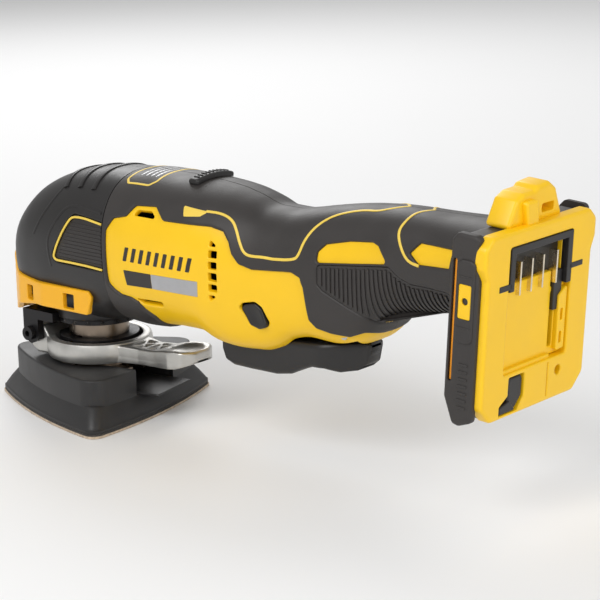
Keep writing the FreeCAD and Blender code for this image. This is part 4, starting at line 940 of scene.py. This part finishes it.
def head_lines(side):
    """(yellow badge outline, fine badge ribs, body ribs) for one side."""
    badge = smoothed(HEAD.from_side(((34.6, 98.8), (15.4, 100.4), (11.2, 97.2), (1.0, 80.8), (1.4, 78.2),
                                     (4.6, 77.5), (34.6, 77.4))), 2)
    yellow = [skin_line(HEAD, badge, side, -0.05, 1.2, 0)]
    ribs = []
    for z in np.arange(79.4, 97.5, 1.75):
        start = float(np.interp(z, (80.0, 98.0), (2.4, 12.6)))
        path = HEAD.from_side(np.stack([np.linspace(start + 1.0, 34.0, 24), np.full(24, z)], 1))
        ribs.append(skin_line(HEAD, path, side, -0.7, 2.0, 0))
    around = HEAD.from_side(((-1.5, 74.0), (-3.6, 84.0), (-2.0, 90.0), (1.6, 95.6), (8.0, 103.0),
                             (14.0, 104.9), (24.0, 104.6), (33.5, 103.6)))
    raised = [skin_line(HEAD, around, side, -0.25)]
    return yellow, ribs, raised


def head_top_lines():
    """Three raised arcs that cross the crown from side to side."""
    lines = []
    for foot_x, foot_z, crown_x in ((13.0, 112.2, 9.5), (22.8, 112.4, 20.6), (3.0, 111.0, -1.5)):
        end = HEAD.from_side(((foot_x, foot_z),))[0]
        crown_u = float(HEAD.u_at(crown_x))
        across = np.linspace(-1, 1, 41)
        path = np.stack([crown_u + (end[0] - crown_u) * across ** 2, across * end[1]], 1)
        lines.append(skin_line(HEAD, path, 1, 0.05, 1.2, 0))
    return lines


def head_shoulder_line(side):
    path = HEAD.from_side(((-14.0, 88.0), (-8.5, 97.0), (-4.5, 102.5), (-0.5, 108.5), (1.5, 112.0)))
    return skin_line(HEAD, path, side, -0.25)


# ------------------------------------------------------------------ guard and light

GUARD_REAR_X = 27.5
GUARD_HALF_WIDTH = 29.0
GUARD_PLAN = ((GUARD_REAR_X, -GUARD_HALF_WIDTH), (-9.0, -GUARD_HALF_WIDTH), (-29.0, -24.5), (-42.5, -14.0),
              (-42.5, 14.0), (-29.0, 24.5), (-9.0, GUARD_HALF_WIDTH), (GUARD_REAR_X, GUARD_HALF_WIDTH))
GUARD_WALL = 2.6


def guard_path():
    """Plan line of the guard's outside, from left rear round the front to right rear."""
    loop = rounded(GUARD_PLAN, 5.0, 0.8)
    start = int(np.argmin(np.hypot(loop[:, 0] - GUARD_REAR_X, loop[:, 1] + GUARD_HALF_WIDTH)))
    loop = np.roll(loop, -start, 0)
    if loop[1, 0] > loop[0, 0]:
        loop = loop[::-1]
    keep = ~((np.abs(loop[:, 1]) < 28.0) & (loop[:, 0] > 20.0))
    return loop[keep]


def guard_place():
    """Placing function round the guard, and the run from its middle to its end."""
    line = guard_path()
    run = run_along(line)
    run -= run[-1] / 2
    ahead = np.gradient(line, axis=0)
    normal = np.stack([ahead[:, 1], -ahead[:, 0]], 1)
    normal /= np.linalg.norm(normal, axis=1)[:, None]
    normal *= np.sign((normal * line).sum(1))[:, None]

    def put(u, v, h):
        x = np.interp(u, run, line[:, 0]) + h * np.interp(u, run, normal[:, 0])
        y = np.interp(u, run, line[:, 1]) + h * np.interp(u, run, normal[:, 1])
        return np.stack([x, y, v], 1)
    return put, float(run[-1])


def make_guard():
    place, end = guard_place()
    half = ((end - 0.4, 62.5), (end - 2.8, 65.2), (46.0, 64.8), (26.0, 66.4), (12.5, 75.0))
    low = ((end - 3.6, 53.6), (46.0, 53.6), (27.0, 50.5), (16.5, 45.2))
    corners = list(half) + [(-u, v) for u, v in reversed(half)]
    corners += [(-u, v) for u, v in low] + [(u, v) for u, v in reversed(low)]
    outline = rounded(corners, 1.6)
    windows = []
    for way in (-1, 1):
        for near, far in ((end - 19.6, end - 12.4), (end - 47.2, end - 42.0)):
            windows.append(rounded(((way * near, 54.9), (way * far, 54.9), (way * far, 62.2),
                                    (way * near, 62.2)), 0.6))
    band = slab(outline, place, 0.0, -GUARD_WALL, 0.7, windows, 0.35, 2.2)
    nose = slab(rounded(((-42.0, -12.6), (-31.0, -12.6), (-31.0, 12.6), (-42.0, 12.6)), 2.0), plan_view,
                52.5, 49.2, 0.6)
    make_piece("guard", "housing", [(band, "guard_yellow"), (nose, "guard_yellow")], ("light_bracket",))


def make_neck(tree):
    """Black ring under the head with a row of small bosses round it."""
    ring = turned(((20.9, 51.0), (20.9, 47.6), (20.3, 46.4), (17.0, 44.4), (15.2, 43.9), (12.8, 43.9),
                   (12.6, 44.4), (12.6, 51.0)))
    make_piece("neck_ring", "housing", [(ring, "black_nylon")], ())
    count = 18
    angles = [2 * math.pi * k / count for k in range(count)]
    spots = [(19.0 * math.cos(a), 19.0 * math.sin(a), 45.6) for a in angles]
    facing = [(0.55 * math.cos(a), 0.55 * math.sin(a), -0.84) for a in angles]
    boss = template("boss", stacked([np.column_stack([circle(0, 0, radius, 12), np.full(12, height)])
                                     for radius, height in ((1.3, -0.8), (1.3, 0.9), (0.9, 1.2))]))
    grown("neck_bosses", tree, spots, [], facing, {"Shape": boss, "Size": 1.0,
          "Finish": FINISH["black_nylon"]}, "housing", ())
    bpy.data.objects.remove(boss)


def template(name, shape):
    """Shape that a tree copies; it is removed afterwards."""
    points, faces = shape
    mesh = bpy.data.meshes.new(name)
    mesh.from_pydata((np.array(points) * MM).tolist(), [], [tuple(f) for f in faces])
    holder = bpy.data.objects.new(name, mesh)
    bpy.context.scene.collection.objects.link(holder)
    return holder


SCREW_PLACES = ((66.0, 56.9), (106.0, 107.0), (147.0, 98.0), (155.0, 70.0), (196.0, 110.0), (225.0, 110.0))


def make_screws(tree):
    """Pan-head screws in the right half, each with a six-lobed socket and its shank."""
    spots = []
    for x, z in SCREW_PLACES:
        u, s = HOUSING.from_side(((x, z),))[0]
        spots.append((x, float(HOUSING.point(np.array([u]), np.array([s]))[0, 1]) - RUBBER - 2.7, z))
    around = np.linspace(0, 2 * math.pi, 36, endpoint=False)

    def ring(radius, height, lobes=0.0):
        size = radius * (1 + lobes * np.cos(6 * around))
        return [(r * math.cos(t), r * math.sin(t), height) for r, t in zip(size, around)]
    screw = template("screw", stacked([ ring(1.55, -12.0), ring(1.6, -2.4), ring(2.85, -2.3),
        ring(2.9, -0.8), ring(2.5, -0.1), ring(2.1, 0.0), ring(1.3, 0.0, 0.12), ring(1.25, -1.4, 0.12)]))
    grown("casing_screws", tree, spots, [], [(0, 1, 0)] * len(spots), {"Shape": screw, "Size": 1.0,
          "Finish": FINISH["zinc"]}, "housing", ("housing_screws",))
    bpy.data.objects.remove(screw)


# ------------------------------------------------------------------ clamp lever

LEVER_BORE = 21.6


def lever_top(x):
    return np.interp(x, (14, 24, 34, 44, 52, 60, 66, 69), (35.6, 35.0, 34.6, 35.4, 37.2, 38.0, 37.8, 37.2))


def lever_bottom(x):
    return np.interp(x, (14, 24, 34, 44, 52, 60, 66, 69), (26.6, 26.6, 27.0, 27.8, 28.6, 29.6, 31.6, 33.4))


def make_lever():
    ring = turned(((25.6, 34.0), (25.0, 35.6), (24.2, 36.0), (22.0, 36.0), (21.2, 35.6), (21.0, 34.8),
                   (21.0, 27.0), (21.6, 26.2), (23.4, 26.0), (24.8, 26.5), (25.5, 28.0), (25.9, 31.0)))
    arm_outline = rounded(((15.5, -14.6), (24.0, -10.6), (34.0, -8.6), (45.0, -9.6), (56.0, -12.0),
                           (64.0, -11.0), (68.0, -5.0), (68.0, 5.0), (64.0, 11.0), (56.0, 12.0), (45.0, 9.6),
                           (34.0, 8.6), (24.0, 10.6), (15.5, 14.6)), 5.0, 1.2)
    hub = circle(0, 0, 22.5, 120)
    floor = slab(arm_outline, plan_view, lambda u, v: lever_top(u) - 4.6, lambda u, v: lever_bottom(u), 0.5,
                 (hub,), 0.1, 1.8, True)
    pockets = []
    for start in (25.6, 35.4):
        end = start + 9.6
        half = 6.6 if start < 30 else 6.2
        middle = (start + end) / 2
        bar = 0.75
        pockets.append(((start + 2 * bar, -half), (end - 2 * bar, -half), (middle, -2 * bar)))
        pockets.append(((start + 2 * bar, half), (end - 2 * bar, half), (middle, 2 * bar)))
        pockets.append(((start + bar, -half + 2 * bar), (start + bar, half - 2 * bar), (middle - bar, 0.0)))
        pockets.append(((end - bar, -half + 2 * bar), (end - bar, half - 2 * bar), (middle + bar, 0.0)))
    holes = [rounded(p, 0.6, 0.8) for p in pockets]

    def dished(u, v):
        gap = np.hypot((u - 57.0) / 9.2, v / 9.0)
        return lever_top(u) - 3.4 * np.clip(1 - gap ** 2, 0, 1) ** 0.75
    deck = slab(arm_outline, plan_view, dished, lambda u, v: lever_top(u) - 5.0, 1.1, [hub] + holes, 0.4, 1.2)
    front = slab(rounded(((-28.1, 40.6), (-19.4, 40.6), (-14.5, 34.0), (-14.5, 26.4), (-24.0, 26.4),
                         (-28.1, 29.4)), 2.2), side_view, 19.1, -19.1, 1.0, both=True)
    parts = [(ring, "cast_alloy"), (floor, "cast_alloy"), (deck, "cast_alloy"), (cut_front(front),
              "cast_alloy")]
    make_piece("squeeze_lever", "lever", parts, ("clamp_lever",))


def cut_front(shape):
    """Keeps the lever's front bar outside the ring's bore."""
    points, faces = shape
    points = points.copy()
    reach = np.hypot(points[:, 0], points[:, 1])
    near = reach < LEVER_BORE
    scale = np.where(near, LEVER_BORE / np.maximum(reach, 1e-6), 1.0)
    points[:, 0] *= scale
    points[:, 1] = np.where(near, points[:, 1] * np.minimum(scale, 1.02), points[:, 1])
    return points, faces


# ------------------------------------------------------------------ sanding pad

PAD_TURN = math.radians(10.8)
PAD_WELL_RADIUS = 12.0
PAD_WELL_FLOOR = 11.1


def delta(tip, bulge=4.6, tip_round=4.0, per_side=22):
    """Rounded triangle with slightly convex sides, one tip to the front."""
    corners = []
    for i in range(3):
        angle = math.pi + PAD_TURN + i * 2 * math.pi / 3
        spread = math.radians(tip_round)
        corners.append((tip * math.cos(angle - spread), tip * math.sin(angle - spread)))
        corners.append((tip * math.cos(angle + spread), tip * math.sin(angle + spread)))
    corners = np.array(corners)
    points = []
    for i in range(6):
        a, b = corners[i], corners[(i + 1) % 6]
        middle = (a + b) / 2
        outward = middle / np.linalg.norm(middle)
        rise = bulge if i % 2 == 1 else np.linalg.norm(b - a) * 0.22
        pieces = per_side if i % 2 == 1 else 8
        for k in range(pieces):
            t = k / pieces
            points.append(a + (b - a) * t + outward * rise * 4 * t * (1 - t))
    return np.array(points)


def turned_back(points):
    c, s = math.cos(PAD_TURN), math.sin(PAD_TURN)
    points = np.array(points, float)
    return np.stack([points[:, 0] * c - points[:, 1] * s, points[:, 0] * s + points[:, 1] * c], 1)


def make_pad():
    levels = ((2.0, 55.6), (2.2, 56.2), (3.4, 56.2), (3.9, 55.4), (4.6, 55.0), (8.5, 51.8), (12.2, 48.2),
              (12.8, 47.4), (13.0, 46.4))
    rings = [np.column_stack([delta(tip), np.full(len(delta(tip)), z)]) for z, tip in levels]
    rim = rings[-1]
    toward = rim[:, :2] / np.linalg.norm(rim[:, :2], axis=1)[:, None]
    for z in (rim[0, 2], PAD_WELL_FLOOR):
        rings.append(np.column_stack([toward * PAD_WELL_RADIUS, np.full(len(rim), z)]))
    flare = stacked(rings)
    outline = densified(delta(45.6, 3.6, 8.0), 1.2)
    mouth = densified(turned_back(((-2.0, -16.0), (70.0, -16.0), (70.0, 16.0), (-2.0, 16.0))), 1.2)
    block = slab(outline, plan_view, 25.0, 12.0, 0.9, (mouth, circle(0, 0, 21.9, 100)), 0.5)
    tread = densified(turned_back(((18.0, -14.6), (42.0, -14.6), (42.0, 14.6), (18.0, 14.6))), 1.5)
    shelf = slab(tread, plan_view, 13.4, 12.4, 0.3)
    parts = [(flare, "pad_rubber"), (block, "pad_rubber"), (shelf, "pad_rubber")]
    for turn in (75.0, 165.0, 195.0, 285.0):
        angle = math.radians(turn) + PAD_TURN
        x, y = 24.0 * math.cos(angle), 24.0 * math.sin(angle)
        rib = rounded(((x - 1.2, y - 3), (x + 1.2, y - 3), (x + 1.2, y + 3), (x - 1.2, y + 3)), 0.4)
        parts.append((slab(rib, plan_view, 24.2, 12.4, 0.3), "pad_rubber"))
    make_piece("pad_block", "output", parts, ("pad_body",))


# ------------------------------------------------------------------ trigger, lock and selector

TRIGGER_SIDE = ((92.2, 54.0), (92.2, 46.0), (94.3, 40.8), (99.5, 38.9), (110.0, 38.7), (124.6, 38.8),
                (132.6, 40.2), (138.8, 43.2), (144.6, 45.4), (151.4, 45.6), (157.6, 44.3), (165.0, 45.6),
                (169.4, 49.0), (171.0, 56.0), (171.0, 58.6), (142.0, 56.5), (112.0, 55.5))


TRIGGER_NARROW_X = 148.0
TRIGGER_NARROW_RUN = 21.0
TRIGGER_NARROWING = 0.62


def narrowed(shape):
    """Brings the trigger's rear end in towards the middle, as seen from above."""
    points, faces = shape
    share = np.clip((points[:, 0] - TRIGGER_NARROW_X) / TRIGGER_NARROW_RUN, 0, 1)
    points = points.copy()
    points[:, 1] *= 1 - TRIGGER_NARROWING * share * share * (3 - 2 * share)
    return points, faces


def make_trigger():
    paddle = slab(rounded(TRIGGER_SIDE, 2.6, 1.0), side_view, 14.0, -14.0, 2.2, grid=2.4, both=True)
    arm = slab(rounded(((159.0, 48.0), (159.0, 68.0), (171.0, 68.0), (171.0, 54.0), (168.0, 48.0)), 3.0),
               side_view, 9.0, -9.0, 0.6, both=True)
    parts = [(narrowed(paddle), "black_nylon"), (narrowed(arm), "black_nylon")]
    make_piece("trigger_paddle", "trigger", parts, ("trigger",), 50.0)


def make_lock():
    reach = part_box("lock_button")[1].y / MM
    outline = rounded(LEAF, 2.6, 0.8)
    outline = shrunk(outline, 0.4)
    centre = outline.mean(0)

    def hollow(u, v):
        return reach - 1.1 * np.clip(1 - np.hypot(u - centre[0], v - centre[1]) / 7.0, 0, 1)
    bar = slab(outline, side_view, hollow, lambda u, v: -hollow(u, v), 0.8, grid=1.4, both=True)
    make_piece("lock_slider", "lock", [(bar, "black_nylon")], ("lock_button",))


def make_selector():
    low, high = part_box("speed_selector")
    centre_z = 75.2
    radius = 47.7
    half = 13.0

    def place(u, v, h):
        angle = v / radius
        return np.stack([u, (radius + h) * np.sin(angle), centre_z + (radius + h) * np.cos(angle)], 1)
    x0, x1 = low.x / MM, high.x / MM
    ridge = slab(oblong(x0, x1, -half, half, 1.4, 1.2), place, 0.5, -1.9, 1.3, grid=1.6)
    parts = [(ridge, "black_nylon")]
    for i in range(9):
        v = -9.6 + 2.4 * i
        tooth = oblong(x0 + 1.4, x1 - 1.4, v - 0.45, v + 0.45, 0.3)
        parts.append((slab(tooth, place, 0.95, 0.0, 0.3), "black_nylon"))
    stem = slab(oblong(x0 + 1.5, x1 - 1.5, -3.0, 3.0, 0.4), place, -1.0, -6.0, 0.1)
    parts.append((stem, "black_nylon"))
    make_piece("selector_ridge", "selector", parts, ("speed_selector",))


# ------------------------------------------------------------------ battery foot

FOOT_OUTLINE = ((-37.0, 50.5), (-37.0, 104.0), (-39.4, 109.5), (-39.4, 117.5), (-34.5, 122.0), (34.5, 122.0),
                (39.4, 117.5), (39.4, 109.5), (37.0, 104.0), (37.0, 50.5), (30.0, 43.5), (-30.0, 43.5))
TERMINAL = ((-18.6, 99.0), (-18.6, 112.6), (18.6, 112.6), (18.6, 92.0), (12.0, 92.0), (12.0, 99.0))
CATCH = ((-24.0, 45.0), (-24.0, 49.0), (-18.2, 52.5), (-18.2, 60.2), (-7.0, 60.2), (-7.0, 50.0),
         (-11.0, 45.0))


def make_foot():
    rear = rear_view(FOOT_REAR_X)
    outline = rounded(FOOT_OUTLINE, 4.0)
    recess = oblong(-22.5, 22.4, 62.0, 115.6, 1.2)
    catch = rounded(CATCH, 0.8)
    screw_hole = circle(17.5, 55.6, 2.1, 28)
    seam = oblong(9.6, 10.1, 46.0, 60.4, 0.1)
    plate = slab(outline, rear, 0.0, -5.2, 1.3, (recess, catch, screw_hole, seam), 0.6)
    floor_outline = shrunk(recess, 0.6)
    terminal = rounded(TERMINAL, 0.6)
    groove = oblong(12.4, 15.4, 66.0, 90.0, 0.8)
    floor = slab(floor_outline, rear, -2.9, -5.2, 0.1, (terminal, groove), 0.4)
    behind = slab(floor_outline, rear, -8.2, -9.4, 0.1, (terminal,), 0.2)
    rail = slab(rounded(((15.8, 64.2), (15.8, 88.0), (21.6, 92.0), (21.6, 64.2)), 1.0), rear, -0.7, -3.4, 0.5,
                [oblong(17.6, 19.4, z, z + 5.0, 0.5) for z in (67.0, 77.0)], 0.3)
    catch_floor = slab(shrunk(catch, 0.4), rear, -4.6, -5.4, 0.1)
    ledge = slab(oblong(-22.0, 12.0, 60.8, 63.6, 0.6), rear, -1.2, -3.4, 0.5)
    parts = [(plate, "shell_yellow"), (floor, "shell_yellow"), (behind, "shell_yellow"), (rail,
             "shell_yellow"), (catch_floor, "plate_dark"), (ledge, "shell_yellow")]
    hump = slab(rounded(((-20.0, 121.0), (-14.0, 132.4), (-9.0, 134.6), (-1.6, 134.8), (0.6, 136.4),
                         (9.0, 137.0), (14.0, 133.6), (19.6, 121.0)), 1.6), rear_view(253.6),
                         0.0, -11.6, 1.6, (oblong(4.2, 12.8, 124.6, 128.2, 0.8),), 0.4, both=True)
    boss = slab(rounded(((-8.6, 120.6), (-10.4, 131.6), (-2.2, 131.6), (-0.6, 120.6)), 1.4),
                rear_view(256.2), 0.0, -3.4, 1.0)
    parts += [(hump, "shell_yellow"), (boss, "shell_yellow")]
    make_piece("foot_plate", "housing", parts, ("battery_foot",))

    shroud_outline = rounded(((-36.6, 50.0), (-36.6, 121.0), (36.6, 121.0), (36.6, 50.0), (30.0, 44.0),
                              (-30.0, 44.0)), 6.0)
    tunnel = oblong(-15.0, 15.0, 88.0, 112.0, 3.0)
    towards_grip = rear_view(252.6)
    shroud = slab(shroud_outline, lambda u, v, h: towards_grip(u, v, -h), 11.4, 0.0, 3.6, (tunnel,), 0.4)
    make_piece("foot_shroud", "housing", [(shroud, "grip_rubber")], ())


def make_terminals():
    rear = rear_view(FOOT_REAR_X)
    bars = ((-22.0, 22.2, 112.4, 115.4), (-22.0, -18.8, 97.0, 113.0), (18.8, 22.2, 93.0, 113.0),
            (-29.2, -20.6, 98.2, 100.8), (20.6, 30.4, 98.6, 101.0))
    parts = [(slab(oblong(*bar, 0.4), rear, 0.25, -4.0, 0.3), "black_nylon") for bar in bars]
    parts.append((slab(oblong(12.6, 18.4, 82.0, 99.0, 0.6), rear, -1.6, -6.0, 0.3), "black_nylon"))
    make_piece("terminal_frame", "housing", parts, ())
    latch = slab(rounded(((-17.6, 46.0), (-17.6, 58.0), (-16.0, 59.6), (-8.6, 59.6), (-7.6, 58.0),
                          (-7.6, 50.6), (-12.0, 46.0)), 1.2), rear, -0.7, -4.6, 0.8)
    tail = slab(rounded(((-23.6, 45.3), (-23.6, 48.4), (-16.4, 50.2), (-12.0, 45.3)), 0.6),
                rear, -0.3, -4.6, 0.5)
    make_piece("foot_catch", "housing", [(latch, "black_nylon"), (tail, "black_nylon")], ("battery_catch",))


def make_bumper(label, side):
    """Rubber side bumper with its long slot, raised pad and threaded plate."""
    place = foot_side(side)
    outline = rounded(((240.9, 54.0), (240.9, 119.5), (243.6, 122.6), (254.6, 122.6), (253.2, 112.0),
                       (254.8, 104.0), (254.8, 45.2), (248.6, 42.6), (245.4, 43.2)), 2.4)
    slot = oblong(242.5, 244.3, 61.0, 112.0, 0.85)
    bumper = slab(outline, place, 39.7, 36.2, 1.4, (slot,), 0.3)
    # Slot floor with painted shade: coloured orange for the shade inside the slot, over the yellow behind it
    slot_floor = slab(shrunk(slot, 0.3), place, 38.6, 36.2, 0.1)
    pad = oblong(245.2, 253.6, 78.0, 112.4, 2.6)
    window = oblong(246.2, 252.4, 88.0, 102.4, 0.9)
    raised = slab(pad, place, 40.6, 38.6, 0.8, (window,), 0.2)
    parts = [(bumper, "grip_rubber"), (slot_floor, "painted_shade_orange"), (raised, "grip_rubber")]
    for z in (84.6, 105.6):
        notch = oblong(245.8, 253.0, z - 0.35, z + 0.35, 0.2)
        parts.append((slab(notch, place, 40.85, 40.0, 0.2), "grip_rubber"))
    for i in range(7):
        z = 50.4 + 3.0 * i
        bar = oblong(247.6, 252.2, z, z + 1.1, 0.4)
        parts.append((slab(bar, place, 40.1, 39.2, 0.3), "grip_rubber"))
    make_piece(label + "_side_bumper", "housing", parts, (label + "_bumper",))
    hole = circle(249.4, 95.4, 1.5, 24)
    plate = slab(window, place, 40.5, 37.0, 0.5, (hole,), 0.3)
    cap = slab(hole, place, 38.9, 37.0, 0.1)
    make_piece(label + "_hook_plate", "housing", [(plate, "shell_yellow"), (cap, "plate_dark")],
               ("hook_plate_" + label,))


# ------------------------------------------------------------------ stage

def add_area(name, place, target, size, power):
    light = bpy.data.lights.new(name, "AREA")
    light.shape = "DISK"
    light.size = size
    light.energy = power
    holder = bpy.data.objects.new(name, light)
    bpy.context.scene.collection.objects.link(holder)
    holder.location = place
    holder.rotation_euler = (Vector(target) - Vector(place)).to_track_quat("-Z", "Y").to_euler()


def make_stage(settings):
    """Pale floor, soft lights and the camera."""
    mesh = bpy.data.meshes.new("floor")
    reach = 6.0
    mesh.from_pydata([(-reach, -reach, 0), (reach, -reach, 0), (reach, reach, 0), (-reach, reach, 0)], [],
                     [(0, 1, 2, 3)])
    floor = bpy.data.objects.new("floor", mesh)
    bpy.context.scene.collection.objects.link(floor)
    floor.location.z = -0.0002
    pale = moulded("pale_floor", (0.90, 0.90, 0.90), 0.75, 0.0, (300, 0.02), (2, 0.004))
    mesh.materials.append(pale)

    world = bpy.data.worlds.new("studio")
    world.use_nodes = True
    world.node_tree.nodes["Background"].inputs["Color"].default_value = (1.0, 1.0, 1.0, 1.0)
    world.node_tree.nodes["Background"].inputs["Strength"].default_value = 0.50
    bpy.context.scene.world = world
    middle = (0.10, 0.0, 0.07)
    add_area("key", (0.15, -1.2, 1.1), middle, 0.9, 11.0)
    add_area("rim", (-0.9, 0.9, 0.9), middle, 0.8, 7.0)
    add_area("rear_fill", (1.3, -0.2, 0.6), middle, 0.9, 5.0)

    turn, rise, roll = math.radians(40.42), math.radians(14.33), math.radians(-1.29)
    back = Vector((math.sin(turn) * math.cos(rise), -math.cos(turn) * math.cos(rise), math.sin(rise)))
    right = Vector((math.cos(turn), math.sin(turn), 0.0))
    up = back.cross(right)
    across = right * math.cos(roll) + up * math.sin(roll)
    upright = up * math.cos(roll) - right * math.sin(roll)
    target = Vector((0.12362, 0.00516, 0.06901))
    lens = bpy.data.cameras.new("camera")
    lens.sensor_width = 36.0
    lens.lens = 132.0
    camera = bpy.data.objects.new("camera", lens)
    bpy.context.scene.collection.objects.link(camera)
    facing = Matrix((across, upright, back)).transposed()
    camera.matrix_world = Matrix.Translation(target + back * settings.camera_distance) @ facing.to_4x4()
    bpy.context.scene.camera = camera
    bpy.context.scene.view_settings.view_transform = "Standard"


# ------------------------------------------------------------------ operators

class ToolOperator:
    """What every operator here shares."""
    bl_options = {"REGISTER", "UNDO"}
    needs_finishes = True

    def execute(self, context):
        if self.needs_finishes and not FINISH:
            raise RuntimeError("make the finishes first")
        self.build(context.scene.tool_finishes, context.scene.tool_shapes)
        return {"FINISHED"}


class MULTITOOL_OT_finishes(ToolOperator, bpy.types.Operator):
    """Make the finishes and give them to the carried-over pieces"""
    bl_idname = "multitool.finishes"
    bl_label = "Finishes"
    needs_finishes = False

    def build(self, finishes, shapes):
        FINISH.update(make_finishes(finishes))
        TREES["bead"] = bead_tree()
        TREES["repeat"] = repeat_tree()
        for finish, names in CARRIED_OVER.items():
            for name in names:
                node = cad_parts[name]
                node.data.materials.clear()
                node.data.materials.append(FINISH[finish])


class MULTITOOL_OT_clamshell(ToolOperator, bpy.types.Operator):
    """Build the clamshell halves, their rubber, the ribs, the piping and the screws"""
    bl_idname = "multitool.clamshell"
    bl_label = "Clamshell and rubber"

    def build(self, finishes, shapes):
        for label, side in SIDES:
            housing_piece(label, side)
            rubber_piece(label, side, shapes)
            beads(label + "_grip_ribs", TREES["bead"], grip_rib_lines(side, shapes.rib_pitch / MM), 1.25, 1.0,
                  "grip_rubber")
            beads(label + "_piping", TREES["bead"], piping_lines(side), shapes.piping_width / MM, 0.6,
                  "piping_yellow")
        make_piece("crown_plate", "housing", label_parts(), ())
        make_screws(TREES["repeat"])


class MULTITOOL_OT_head(ToolOperator, bpy.types.Operator):
    """Build the head cover with its badge panel, ribs, guard and neck"""
    bl_idname = "multitool.head"
    bl_label = "Head and guard"

    def build(self, finishes, shapes):
        parts = head_parts(-1) + head_parts(1)
        make_piece("head_shell", "housing", parts, ("head_cover",))
        yellow, fine, raised = [], [], []
        for _, side in SIDES:
            outline, ribs, around = head_lines(side)
            yellow += outline
            fine += ribs
            raised += around + [head_shoulder_line(side)]
        beads("badge_frames", TREES["bead"], yellow, 1.1, 0.7, "piping_yellow")
        beads("badge_ribs", TREES["bead"], fine, 0.55, 0.5, "plate_dark")
        beads("head_edges", TREES["bead"], raised, 1.5, 1.0, "black_nylon")
        beads("head_arcs", TREES["bead"], head_top_lines(), 2.6, 1.3, "black_nylon",
              rounding=0.5)
        make_guard()
        make_neck(TREES["repeat"])


class MULTITOOL_OT_lever(ToolOperator, bpy.types.Operator):
    """Build the cast clamp lever"""
    bl_idname = "multitool.lever"
    bl_label = "Clamp lever"

    def build(self, finishes, shapes):
        make_lever()


class MULTITOOL_OT_pad(ToolOperator, bpy.types.Operator):
    """Build the sanding pad's moulded body"""
    bl_idname = "multitool.pad"
    bl_label = "Sanding pad"

    def build(self, finishes, shapes):
        make_pad()


class MULTITOOL_OT_controls(ToolOperator, bpy.types.Operator):
    """Build the trigger, the lock button and the speed selector"""
    bl_idname = "multitool.controls"
    bl_label = "Controls"

    def build(self, finishes, shapes):
        make_trigger()
        make_lock()
        make_selector()


class MULTITOOL_OT_foot(ToolOperator, bpy.types.Operator):
    """Build the battery foot, its terminals, catch and bumpers"""
    bl_idname = "multitool.foot"
    bl_label = "Battery foot"

    def build(self, finishes, shapes):
        make_foot()
        make_terminals()
        for label, side in SIDES:
            make_bumper(label, side)


class MULTITOOL_OT_stage(ToolOperator, bpy.types.Operator):
    """Build the floor, the lights and the camera"""
    bl_idname = "multitool.stage"
    bl_label = "Stage"

    def build(self, finishes, shapes):
        make_stage(shapes)


STEPS = (MULTITOOL_OT_finishes, MULTITOOL_OT_clamshell, MULTITOOL_OT_head, MULTITOOL_OT_lever,
         MULTITOOL_OT_pad, MULTITOOL_OT_controls, MULTITOOL_OT_foot, MULTITOOL_OT_stage)


class MULTITOOL_PT_panel(bpy.types.Panel):
    """Sidebar panel that lists the steps"""
    bl_idname = "MULTITOOL_PT_panel"
    bl_label = "Multi-tool"
    bl_space_type = "VIEW_3D"
    bl_region_type = "UI"
    bl_category = "Multi-tool"

    def draw(self, context):
        for group in (context.scene.tool_finishes, context.scene.tool_shapes):
            for name in group.__annotations__:
                self.layout.prop(group, name)
        for step in STEPS:
            self.layout.operator(step.bl_idname)


CLASSES = (FinishSettings, ShapeSettings) + STEPS + (MULTITOOL_PT_panel,)


def register():
    for item in CLASSES:
        bpy.utils.register_class(item)
    bpy.types.Scene.tool_finishes = bpy.props.PointerProperty(type=FinishSettings)
    bpy.types.Scene.tool_shapes = bpy.props.PointerProperty(type=ShapeSettings)


def unregister():
    del bpy.types.Scene.tool_shapes
    del bpy.types.Scene.tool_finishes
    for item in reversed(CLASSES):
        bpy.utils.unregister_class(item)


def main():
    register()
    for step in STEPS:
        group, name = step.bl_idname.split(".")
        getattr(getattr(bpy.ops, group), name)()


if __name__ == "__main__":
    main()
